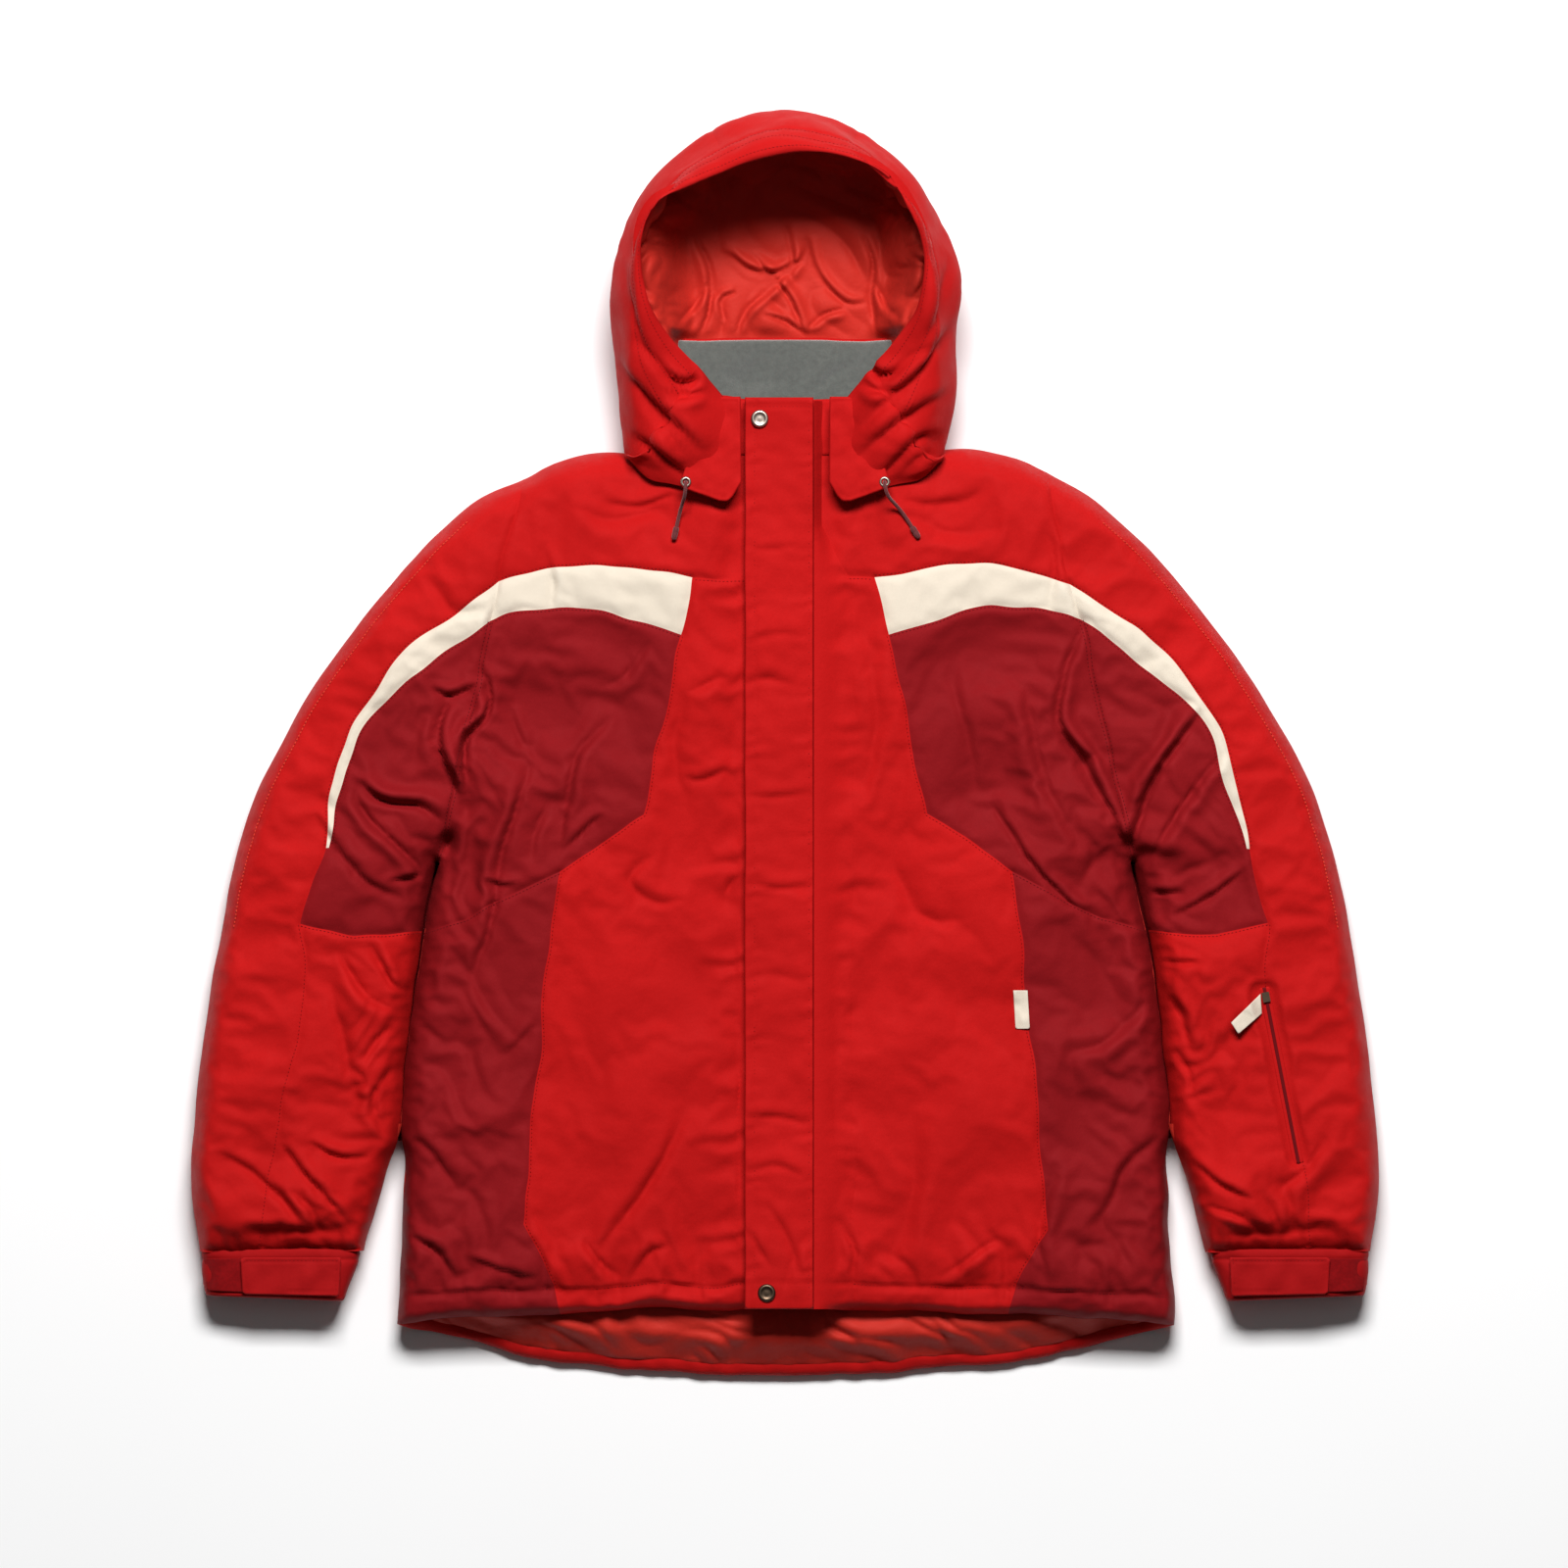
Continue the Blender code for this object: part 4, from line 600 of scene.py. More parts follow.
def settle_front(side):
    """How far the front's cloth lifts as it settles, as a table over |x| and y."""
    half = loop(NECK, SHOULDER, SLEEVE_OUTER, OUTER_END, INNER_END, SLEEVE_INNER[::-1], BODY_EDGE_TOP,
                BODY_EDGE_LOW, SIDE_HEM, FRONT_HEM, FRONT_EDGE[::-1])
    border = even(closed(half), CELL)[:-1]
    draw = np.random.default_rng(5)
    grid = staggered(half, CELL, np.arange(half[:, 0].min(), half[:, 0].max() + CELL, CELL))
    grid += draw.uniform(-0.22, 0.22, grid.shape) * CELL
    grid = grid[inside(grid, half)]
    grid = grid[near(grid, closed(border))[0] > 0.6 * CELL]
    flat, faces = triangles(np.vstack([border, grid]), len(border))
    held = np.full(len(flat), 0.02)
    for line, _ in SEAMS:
        held = np.maximum(held, 0.4 * np.exp(-(near(flat, line)[0] / 0.006) ** 2))
    held[near(flat, closed(border))[0] < 0.006] = 1.0
    places = flat * [side, 1]
    verts = np.column_stack([places, sewn_height(places)])
    moved = settled(verts, faces, held, 0.008 + 0.055 * looseness(places), bending=0.3)
    tree = BVHTree.FromPolygons([Vector(v) for v in moved], faces)
    xs = np.arange(0, TABLE_WIDTH, TABLE)
    ys = np.arange(TABLE_LOW, TABLE_HIGH, TABLE)
    table = np.zeros((len(ys), len(xs)))
    down = Vector((0, 0, -1))
    places = np.array([(x * side, y) for y in ys for x in xs])
    plain = sewn_height(places).reshape(table.shape)
    for row, y in enumerate(ys):
        for column, x in enumerate(xs):
            place = tree.ray_cast(Vector((x * side, y, 1)), down)[0]
            if place is not None:
                table[row, column] = place.z - plain[row, column]
    for axis in (0, 1):
        table = (np.roll(table, 1, axis) + 2 * table + np.roll(table, -1, axis)) / 4
    return table


LIFTS = {}


def settled_lift(points):
    """The tables read between their entries."""
    if not LIFTS:
        return np.zeros(len(points))
    column = np.clip(np.abs(points[:, 0]) / TABLE, 0, LIFTS[1].shape[1] - 1.001)
    row = np.clip((points[:, 1] - TABLE_LOW) / TABLE, 0, LIFTS[1].shape[0] - 1.001)
    c, r = column.astype(int), row.astype(int)
    u, v = column - c, row - r
    lifts = []
    for side in (1, -1):
        t = LIFTS[side]
        lifts.append((t[r, c] * (1 - u) + t[r, c + 1] * u) * (1 - v)
                     + (t[r + 1, c] * (1 - u) + t[r + 1, c + 1] * u) * v)
    return np.where(points[:, 0] > 0, lifts[0], lifts[1])


# ---------------------------------------------------------------- materials

LIGHT = 1.30  # the studio lights a white sheet this much brighter than white


def linear(channel):
    """One 8-bit display channel as a linear value."""
    value = channel / 255
    return value / 12.92 if value <= 0.04045 else ((value + 0.055) / 1.055) ** 2.4


def colour(rgb, factor=1.0):
    """The cloth's own colour, given how it looks in the studio's light."""
    return (*[linear(c) * factor / LIGHT for c in rgb], 1.0)


class Nodes:
    """A material's node tree, written from left to right."""

    def __init__(self, name):
        self.material = bpy.data.materials.new(name)
        self.material.use_nodes = True
        self.tree = self.material.node_tree
        self.shader = self.tree.nodes["Principled BSDF"]
        self.place = self.add("ShaderNodeTexCoord").outputs["Object"]

    def add(self, kind, inputs=None, **settings):
        node = self.tree.nodes.new(kind)
        for key, value in settings.items():
            setattr(node, key, value)
        for key, value in (inputs or {}).items():
            node.inputs[key].default_value = value
        return node

    def set(self, **values):
        """The shader's inputs, with their names in small letters."""
        for key, value in values.items():
            name = key.replace("_", " ").title().replace("Ior", "IOR")
            self.shader.inputs[name].default_value = value

    def drive(self, output, name):
        self.link(output, self.shader.inputs[name])

    def textured(self, kind, output="Fac", **given):
        """A texture over the object's own places."""
        node = self.add(kind, **given)
        self.link(self.place, node.inputs["Vector"])
        return node.outputs[output]

    def link(self, output, socket):
        self.tree.links.new(output, socket)

    def noise(self, scale, detail=2.0, roughness=0.5):
        return self.textured("ShaderNodeTexNoise",
                             inputs={"Scale": scale, "Detail": detail, "Roughness": roughness})

    def ridges(self, scale):
        """Sharp creases between smooth facets."""
        return self.textured("ShaderNodeTexNoise", noise_type="RIDGED_MULTIFRACTAL", normalize=True,
                             inputs={"Scale": scale, "Detail": 3.0, "Roughness": 0.5, "Distortion": 0.4})

    def bands(self, axis, pitch):
        """Threads along one axis, pitch apart."""
        return self.textured("ShaderNodeTexWave", bands_direction=axis,
                             inputs={"Scale": math.pi / (10 * pitch), "Distortion": 0.6, "Detail Scale": 2.0})

    def math(self, kind, a, b):
        node = self.add("ShaderNodeMath", operation=kind)
        for socket, value in zip(node.inputs, (a, b)):
            if isinstance(value, (int, float)):
                socket.default_value = value
            else:
                self.link(value, socket)
        return node.outputs[0]

    def spread(self, value, low, high, to_low, to_high):
        node = self.add("ShaderNodeMapRange")
        self.link(value, node.inputs["Value"])
        for socket, number in zip(node.inputs[1:5], (low, high, to_low, to_high)):
            socket.default_value = number
        return node.outputs["Result"]

    def mix(self, factor, a, b):
        node = self.add("ShaderNodeMix", data_type="RGBA")
        self.link(factor, node.inputs["Factor"])
        for socket, value in ((node.inputs["A"], a), (node.inputs["B"], b)):
            if isinstance(value, tuple):
                socket.default_value = value
            else:
                self.link(value, socket)
        return node.outputs["Result"]

    def bump(self, height, strength, distance, before=None):
        node = self.add("ShaderNodeBump", inputs={"Strength": strength, "Distance": distance})
        self.link(height, node.inputs["Height"])
        if before is not None:
            self.link(before, node.inputs["Normal"])
        return node.outputs["Normal"]


def woven(name, rgb, roughness=0.56, sheen=0.03, thread=0.0005, wrinkle=0.5, mottle=0.10, shine=0.14):
    """Woven cloth: threads, small wrinkles, mottled dye, and convex ridges painted lighter, partly as wear
    and partly as a painted highlight on fold crests.
    """
    made = Nodes(name)
    base = made.mix(made.spread(made.noise(9, 4), 0.35, 0.65, 0, 1), colour(rgb), colour(rgb, 1 + mottle))
    fine = made.spread(made.noise(420, 3, 0.7), 0.3, 0.7, 0, 0.35)
    base = made.mix(fine, base, colour(rgb, 1 - 1.6 * mottle))
    # lighter where the surface is convex: partly wear along edges, partly a painted highlight on the crests
    # of folds
    worn = made.spread(made.add("ShaderNodeNewGeometry").outputs["Pointiness"], 0.515, 0.60, 0, 0.35)
    base = made.mix(worn, base, colour([min(255, c * 1.08 + 14) for c in rgb]))
    made.drive(base, "Base Color")
    made.drive(made.spread(made.noise(60, 3), 0.3, 0.7, roughness - 0.06, roughness + 0.08), "Roughness")
    made.set(sheen_weight=sheen, sheen_roughness=0.45, ior=1.35, specular_ior_level=shine,
             sheen_tint=colour([min(255, c + 60) for c in rgb], LIGHT),
             specular_tint=colour([min(255, c + 110) for c in rgb], LIGHT))
    crinkles = made.math("MULTIPLY", made.ridges(17), made.spread(made.noise(5, 2), 0.42, 0.62, 0, 1))
    small = made.bump(made.noise(85, 5, 0.55), wrinkle, 0.0011, made.bump(crinkles, 0.6 * wrinkle, 0.0016))
    weave = made.math("MAXIMUM", made.bands("X", thread), made.bands("Y", thread))
    made.drive(made.bump(weave, 0.35, 0.00012, small), "Normal")
    return made.material


def pile(name, rgb, scale=900, depth=0.0009, sheen=0.8):
    """Brushed or looped pile."""
    made = Nodes(name)
    clumps = made.spread(made.noise(scale * 0.25, 6, 0.7), 0.3, 0.7, 0, 1)
    made.drive(made.mix(clumps, colour(rgb, 0.72), colour(rgb, 1.12)), "Base Color")
    made.set(roughness=0.95, sheen_weight=sheen, sheen_roughness=0.6, specular_ior_level=0.15)
    tufts = made.bump(made.noise(scale, 4, 0.75), 0.8, depth)
    made.drive(made.bump(made.noise(scale * 0.12, 3), 0.5, depth, tufts), "Normal")
    return made.material


def metal(name, rgb, roughness):
    """Satin metal with darker scuffs."""
    made = Nodes(name)
    scuffs = made.spread(made.noise(1500, 4, 0.7), 0.35, 0.7, 0, 1)
    made.drive(made.mix(scuffs, colour(rgb, 0.75), colour(rgb, 1.05)), "Base Color")
    made.set(metallic=1.0)
    made.drive(made.spread(scuffs, 0, 1, roughness + 0.15, roughness - 0.05), "Roughness")
    made.drive(made.bump(made.noise(700, 3), 0.15, 0.0001), "Normal")
    return made.material


def braid(name, rgb):
    """Plaited cord, painted darker in the plait's grooves and lighter on its raised strands: painted shade
    and highlight.
    """
    made = Nodes(name)
    plait = made.math("MULTIPLY", made.bands("DIAGONAL", 0.0012), made.bands("Y", 0.0010))
    # darker in the grooves and lighter on the raised strands, by the same pattern as the bump: painted shade
    # and highlight
    made.drive(made.mix(plait, colour(rgb, 0.6), colour(rgb, 1.15)), "Base Color")
    made.set(roughness=0.75, sheen_weight=0.3)
    made.drive(made.bump(plait, 0.6, 0.0003), "Normal")
    return made.material


RED = (200, 26, 26)
DARK = (146, 25, 30)
MATERIALS = {
    "red_shell": woven("red_shell_cloth", RED),
    "dark_shell": woven("dark_shell_cloth", DARK, 0.54),
    "cream_trim": woven("cream_cloth", (246, 232, 212), 0.5, 0.05, 0.0004, 0.2, 0.04),
    "fleece": pile("grey_fleece", (97, 101, 95)),
    "lining": woven("lining_taffeta", (208, 50, 40), 0.44, 0.03, 0.0003, 0.85, 0.06, 0.34),
    "cuff_cloth": woven("cuff_cloth", (176, 24, 26), 0.6),
    "hook_and_loop": pile("loop_pile", (150, 8, 14), 1400, 0.0006, 0.0),
    "zip_tape": woven("zip_tape_cloth", (110, 22, 26), 0.7, 0.05, 0.0007, 0.1),
    "cord": braid("cord_braid", (120, 26, 30)),
    "pale_metal": metal("pale_metal_satin", (223, 205, 190), 0.30),
    "dark_metal": metal("dark_metal_worn", (112, 92, 76), 0.34),
}
THREAD_RED = woven("thread_red", (158, 24, 26), 0.5, 0.2, 0.0003, 0.0)
# a lighter orange thread that stands for the light on the sleeve's overarm seam: a painted highlight
PAINTED_SEAM_HIGHLIGHT = woven("sleeve_seam_painted_highlight", (232, 70, 52), 0.5, 0.2, 0.0003, 0.0)
THREAD_DARK = woven("thread_dark", (112, 24, 28), 0.5, 0.2, 0.0003, 0.0)


# ---------------------------------------------------------------- meshes

def piece(name, verts, faces, slot, body=None, replaces=(), made_of=None, merge=0.0):
    """A smooth shaded mesh object that rides on a body and stands for its CAD nodes.
    """
    mesh = bpy.data.meshes.new(name)
    mesh.from_pydata(np.asarray(verts).tolist(), [], [list(map(int, f)) for f in faces])
    if merge:
        solid = bmesh.new()
        solid.from_mesh(mesh)
        bmesh.ops.remove_doubles(solid, verts=solid.verts, dist=merge)
        bmesh.ops.dissolve_degenerate(solid, edges=solid.edges, dist=1e-6)
        bmesh.ops.recalc_face_normals(solid, faces=solid.faces)
        solid.to_mesh(mesh)
        solid.free()
    mesh.shade_smooth()
    mesh.materials.append(made_of or MATERIALS[slot])
    made = bpy.data.objects.new(name, mesh)
    bpy.context.scene.collection.objects.link(made)
    if body:
        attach(made, body)
    if replaces:
        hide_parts(*replaces)
    return made


def inside(points, outline):
    hit = np.zeros(len(points), bool)
    x, y = points.T
    for a, b in zip(outline, np.roll(outline, -1, axis=0)):
        if a[1] != b[1]:
            crosses = (a[1] > y) != (b[1] > y)
            hit ^= crosses & (x < (b[0] - a[0]) * (y - a[1]) / (b[1] - a[1]) + a[0])
    return hit


def staggered(outline, spacing, columns):
    """A grid of places, every second row moved by half a spacing."""
    ys = np.arange(outline[:, 1].min(), outline[:, 1].max(), spacing * 0.866)
    return np.array([(x + (0.5 * spacing if i % 2 else 0), y) for i, y in enumerate(ys) for x in columns])


def triangles(points, border):
    """Points and triangles inside the outline that the first points make."""
    result = delaunay_2d_cdt([Vector(p) for p in points], [], [list(range(border))], 1, 1e-7)
    return np.array([tuple(p) for p in result[0]]), result[2]


def filled(outline, spacing=SPACING, rows=ROWS):
    """Points and triangles that fill an outline: its own points, rows along it and a grid."""
    border = closed(outline)
    before = outline - np.roll(outline, 1, axis=0)
    after = np.roll(outline, -1, axis=0) - outline
    inward = np.column_stack([-(before + after)[:, 1], (before + after)[:, 0]])
    inward /= np.linalg.norm(inward, axis=1)[:, None] + 1e-12
    parts = [outline + inward * row for row in rows]
    kept = [outline]
    for part, row in zip(parts, rows):
        clear = near(part, border)[0] > 0.86 * row
        kept.append(part[clear & inside(part, outline)])
    columns = np.arange(outline[:, 0].min() - spacing, outline[:, 0].max() + spacing, spacing)
    grid = staggered(outline, spacing, columns)
    grid = grid[inside(grid, outline)]
    margin = (rows[-1] if rows else 0.0) + 0.55 * spacing
    kept.append(grid[near(grid, border)[0] > margin])
    points = np.vstack(kept)
    return triangles(points, len(outline))


def cloth_sheet(name, outline, height, slot, body, replaces=(), spacing=SPACING, rows=ROWS, under=False):
    """One panel: a fine sheet at the height function's height."""
    points, faces = filled(outline, spacing, rows)
    verts = np.column_stack([points + drift(points), height(points)])
    if under:
        faces = [face[::-1] for face in faces]
    return piece(name, verts, faces, slot, body, replaces)


def slab(name, outline, low, high, slot, body, replaces=(), radius=0.002, spacing=SPACING):
    """A closed thick piece with a rounded edge; low and high are heights or functions of the place."""
    rows = [radius * share for share in (0.08, 0.3, 0.65, 1.05)]
    points, faces = filled(outline, spacing, rows)
    distance = near(points, closed(outline))[0]
    bottom = low(points) if callable(low) else np.full(len(points), low)
    top = high(points) if callable(high) else np.full(len(points), high)
    middle = (bottom + top) / 2
    half = (top - bottom) / 2 * quarter(distance / radius)
    wander = drift(points) if spacing >= SPACING else 0
    upper = np.column_stack([points + wander, middle + half])
    lower = np.column_stack([points + wander, middle - half])
    count = len(points)
    sides = [list(f) for f in faces] + [[i + count for i in reversed(f)] for f in faces]
    return piece(name, np.vstack([upper, lower]), sides, slot, body, replaces, merge=0.00004)


def grid_faces(rows, columns, closed=False):
    faces = []
    for r in range(rows - 1):
        for c in range(columns if closed else columns - 1):
            d = (c + 1) % columns
            faces.append((r * columns + c, r * columns + d, (r + 1) * columns + d, (r + 1) * columns + c))
    return faces


def turned(centre, profile, count=32):
    """Points and faces of a round piece about a vertical axis, from a profile of (radius, z)."""
    angles = np.linspace(0, 2 * math.pi, count, endpoint=False)
    rings = [np.column_stack([centre[0] + r * np.cos(angles), centre[1] + r * np.sin(angles),
                              np.full(count, z)]) for r, z in profile]
    return np.vstack(rings), grid_faces(len(profile), count, closed=True)


def offset(line, distance):
    """A line moved sideways, to the left of its run."""
    line = np.asarray(line)
    ahead = np.gradient(line, axis=0)
    ahead /= np.linalg.norm(ahead, axis=1)[:, None] + 1e-12
    return line + distance * np.column_stack([-ahead[:, 1], ahead[:, 0]])


def stitch_points(path, ups, pitch=0.0034, length=0.0023, width=0.00042, high=0.00034):
    """Small spindles lying along a path of places in space, each a stitch."""
    path = np.asarray(path)
    reach = reaches(path)
    verts, faces = [], []
    for start in np.arange(pitch / 2, reach[-1] - pitch / 2, pitch):
        a, b = [np.array([np.interp(start + s * length / 2, reach, path[:, k]) for k in range(3)])
                for s in (-1, 1)]
        up = np.array([np.interp(start, reach, ups[:, k]) for k in range(3)])
        along = b - a
        across = np.cross(up, along)
        across *= width / (np.linalg.norm(across) + 1e-12)
        middle = (a + b) / 2
        base = len(verts)
        verts += [a, b, middle + across, middle - across, middle + up * high, middle - up * high]
        faces += [(base, base + 2, base + 4), (base + 2, base + 1, base + 4), (base + 1, base + 3, base + 4),
                  (base + 3, base, base + 4), (base + 2, base, base + 5), (base + 1, base + 2, base + 5),
                  (base + 3, base + 1, base + 5), (base, base + 3, base + 5)]
    return verts, faces


def stitching(name, paths, body, slot, made_of, **size):
    """Rows of stitches as one piece; paths hold (places, ups)."""
    verts, faces = [], []
    for path, ups in paths:
        more, more_faces = stitch_points(path, ups, **size)
        faces += [[i + len(verts) for i in face] for face in more_faces]
        verts += more
    return piece(name, verts, faces, slot, body, made_of=made_of)


def upright(line):
    """An upward direction for each point."""
    return np.tile([0.0, 0.0, 1.0], (len(line), 1))


def on_front(line, side=1, lift=0.0002):
    """A flat line laid on the front's cloth, with its upward directions."""
    flat = even(flipped(line, side), 0.0024)
    high = front_height(flat) + lift
    return np.column_stack([flat + drift(flat), high]), upright(flat)


def side_name(side):
    return "left" if side == 1 else "right"


# ---------------------------------------------------------------- camera, light and floor

def camera():
    """Straight down on the middle of the jacket, through a long lens."""
    distance, field, plane = 24.0, 1.36, 0.03
    data = bpy.data.cameras.new("camera")
    data.sensor_width = 36.0
    data.lens = data.sensor_width * distance / field
    data.clip_end = 50.0
    made = bpy.data.objects.new("camera", data)
    made.location = (-0.001, -0.0353, plane + distance)
    bpy.context.scene.collection.objects.link(made)
    bpy.context.scene.camera = made


def lamp(name, place, target, size, energy, tint=(1.0, 1.0, 1.0)):
    data = bpy.data.lights.new(name, "AREA")
    data.shape = "RECTANGLE"
    data.size, data.size_y = size
    data.energy = energy
    data.color = tint
    made = bpy.data.objects.new(name, data)
    made.location = place
    aim = Vector(target) - Vector(place)
    made.rotation_euler = aim.to_track_quat("-Z", "Y").to_euler()
    bpy.context.scene.collection.objects.link(made)


def studio():
    scene = bpy.context.scene
    scene.view_settings.view_transform = "Standard"
    world = bpy.data.worlds.new("studio")
    world.use_nodes = True
    world.node_tree.nodes["Background"].inputs["Color"].default_value = (1.0, 1.0, 1.0, 1.0)
    world.node_tree.nodes["Background"].inputs["Strength"].default_value = 0.05
    scene.world = world
    lamp("window", (0.15, 2.9, 4.4), (0.0, -0.15, 0.0), (2.5, 1.2), 400)
    lamp("overhead", (0.5, 0.3, 4.0), (0.0, -0.1, 0.0), (2.6, 2.0), 4)
    made = Nodes("white_floor")
    made.drive(made.mix(made.noise(3), (0.93, 0.93, 0.93, 1), (0.95, 0.95, 0.95, 1)), "Base Color")
    made.set(roughness=0.8)
    size = 8.0
    mesh = bpy.data.meshes.new("floor")
    mesh.from_pydata([(-size, -size, 0), (size, -size, 0), (size, size, 0), (-size, size, 0)], [],
                     [(0, 1, 2, 3)])
    mesh.materials.append(made.material)
    floor = bpy.data.objects.new("floor", mesh)
    bpy.context.scene.collection.objects.link(floor)
    floor.location.z = -0.0005


# ---------------------------------------------------------------- drawcords

def cord_route(side):
    """Up out of the eyelet, over the edge of the throat flap and down along the yoke."""
    x, y, z = EYELET
    lean = 0.0236 if side == 1 else 0.0080
    shape = [(0.0, 0.0, 0.0004), (0.0, -0.0004, 0.0040), (0.02, -0.0040, 0.0076), (0.08, -0.0095, 0.0070),
             (0.20, -0.0145, 0.0010), (0.38, -0.0190, -0.0070), (0.62, -0.0255, -0.0126),
             (0.82, -0.0320, -0.0143), (1.0, -0.0385, -0.0145)]
    return np.array([((x + lean * a) * side, y + b, z + c) for a, b, c in shape])


def cord_tip(side, route):
    """A crimped end sleeve on the cord."""
    ahead = route[-1] - route[-2]
    ahead /= np.linalg.norm(ahead)
    across = np.cross(ahead, (0, 0, 1))
    across /= np.linalg.norm(across)
    up = np.cross(across, ahead)
    profile = [(0.0002, 0.0), (0.0003, 0.0017), (0.0009, 0.0022), (0.0020, 0.0025), (0.0045, 0.0026),
               (0.0055, 0.0023), (0.0062, 0.0026), (0.0100, 0.0023), (0.0114, 0.0018), (0.0118, 0.0010),
               (0.0120, 0.0)]
    angles = np.linspace(0, 2 * math.pi, 20, endpoint=False)
    verts = []
    for along, radius in profile:
        centre = route[-1] + ahead * along + np.array([0, 0, 0.0011])
        verts += [centre + across * radius * math.cos(a) + up * radius * math.sin(a) for a in angles]
    name = side_name(side) + "_cord_end"
    return piece(name, verts, grid_faces(len(profile), 20, closed=True), "cord", "torso",
                 [side_name(side) + "_cord_tip"], merge=0.00001)


def drawcord(side):
    control = cord_route(side)
    route = even(refine(control, 8), 0.0026)
    data = bpy.data.curves.new(side_name(side) + "_cord", "CURVE")
    data.dimensions = "3D"
    data.bevel_depth = CORD_DIAMETER / 2
    data.bevel_resolution = 5
    data.use_fill_caps = True
    spline = data.splines.new("POLY")
    spline.points.add(len(route) - 1)
    for point, place in zip(spline.points, route):
        point.co = (*place, 1.0)
    data.materials.append(MATERIALS["cord"])
    made = bpy.data.objects.new(side_name(side) + "_cord", data)
    bpy.context.scene.collection.objects.link(made)
    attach(made, "torso")
    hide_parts(side_name(side) + "_drawcord")
    tip = cord_tip(side, route)
    x, y, z = EYELET
    ring = [(0.0023, z - 0.0004), (0.0023, z + 0.0008), (0.0029, z + 0.0014), (0.0037, z + 0.0015),
            (0.0045, z + 0.0009), (0.0048, z + 0.0002), (0.0044, z - 0.0004), (0.0023, z - 0.0004)]
    verts, faces = turned((x * side, y), ring)
    piece(side_name(side) + "_eyelet_ring", verts, faces, "pale_metal", "torso",
          [side_name(side) + "_eyelet"], merge=0.00001)


# ---------------------------------------------------------------- body

def torso_front(side):
    name = side_name(side)
    panels = {
        "yoke": ("red_shell", "front_yoke", (NECK, SHOULDER, ARMHOLE_TOP, TOP[::-1], YOKE_SEAM[::-1],
                                             cut(FRONT_EDGE, NECK_Y, STRIPE_TOP[0][1])[::-1])),
        "chest_band": ("cream_trim", "chest_stripe", (TOP, ARMHOLE_STRIPE, LOW[::-1], STRIPE_END[::-1])),
        "chest": ("dark_shell", "chest_panel", (LOW, ARMHOLE_LOW, BODY_EDGE_TOP, UNDERARM_SEAM[::-1],
                                                CHEST_SEAM[::-1])),
        "front": ("red_shell", "front_panel", (YOKE_SEAM, STRIPE_END, CHEST_SEAM, SIDE_SEAM, FRONT_HEM,
                                               cut(FRONT_EDGE, STRIPE_TOP[0][1], FRONT_HEM_Y)[::-1])),
        "side": ("dark_shell", "side_panel", (UNDERARM_SEAM, BODY_EDGE_LOW, SIDE_HEM, SIDE_SEAM[::-1])),
    }
    for part, (slot, node, lines) in panels.items():
        outline = loop(*[flipped(line, side) for line in lines])
        cloth_sheet(name + "_" + part + "_cloth", outline, front_height, slot, "torso",
                    [name + "_" + node])


def torso_outline():
    half = np.vstack([NECK, SHOULDER, ARMHOLE_TOP, ARMHOLE_STRIPE, ARMHOLE_LOW, BODY_EDGE_TOP,
                      BODY_EDGE_LOW, BACK_HEM])
    return loop(half, flipped(half[::-1], -1))


def back_height(points):
    """The back's outer cloth: flat on the floor, rising at the side seams."""
    half = mirrored(points)
    edge = np.min([near(half, line)[0] for line in OUTLINE], axis=0)
    hem = near(half, BACK_HEM_LINE)[0]
    high = 0.0012 + (SEAM_Z - 0.0012) * (1 - quarter(edge / 0.020))
    at_hem = 0.0012 + 0.0050 * (1 - quarter(hem / 0.006))
    taken = ease((edge - 0.010) / 0.03) * (points[:, 1] < -0.3)
    return np.where(hem < 0.006, at_hem * taken + high * (1 - taken), high)


def lining_height(points):
    """The back lining where it lies open below the front hem, and on up inside."""
    half = mirrored(points)
    side = near(half, BODY_SIDE)[0]
    hem = near(half, BACK_HEM_LINE)[0]
    folds = 0.0020 * crumple(points, 0.034, 131, 1.0, 0.35) + 0.0007 * waves(points, 0.070, 141, 0.9, 0.4)
    for line, depth in (([(-0.22, -0.500), (-0.19, -0.512), (-0.165, -0.530)], 0.004),
                        ([(-0.20, -0.490), (-0.165, -0.505), (-0.14, -0.534)], 0.003),
                        ([(0.10, -0.496), (0.125, -0.510), (0.16, -0.520)], 0.004),
                        ([(0.02, -0.500), (0.055, -0.512), (0.07, -0.530)], 0.003),
                        ([(-0.07, -0.498), (-0.04, -0.510), (-0.01, -0.512)], 0.003)):
        folds += crease(points, line, depth, 0.0045, 0.8)
    high = LINING_Z + 0.003 + 0.018 * ease(side / 0.05) * ease((hem - 0.010) / 0.024)
    high += folds * ease(hem / 0.02)
    return high - 0.0045 * (1 - quarter((hem - 0.0090) / 0.010))


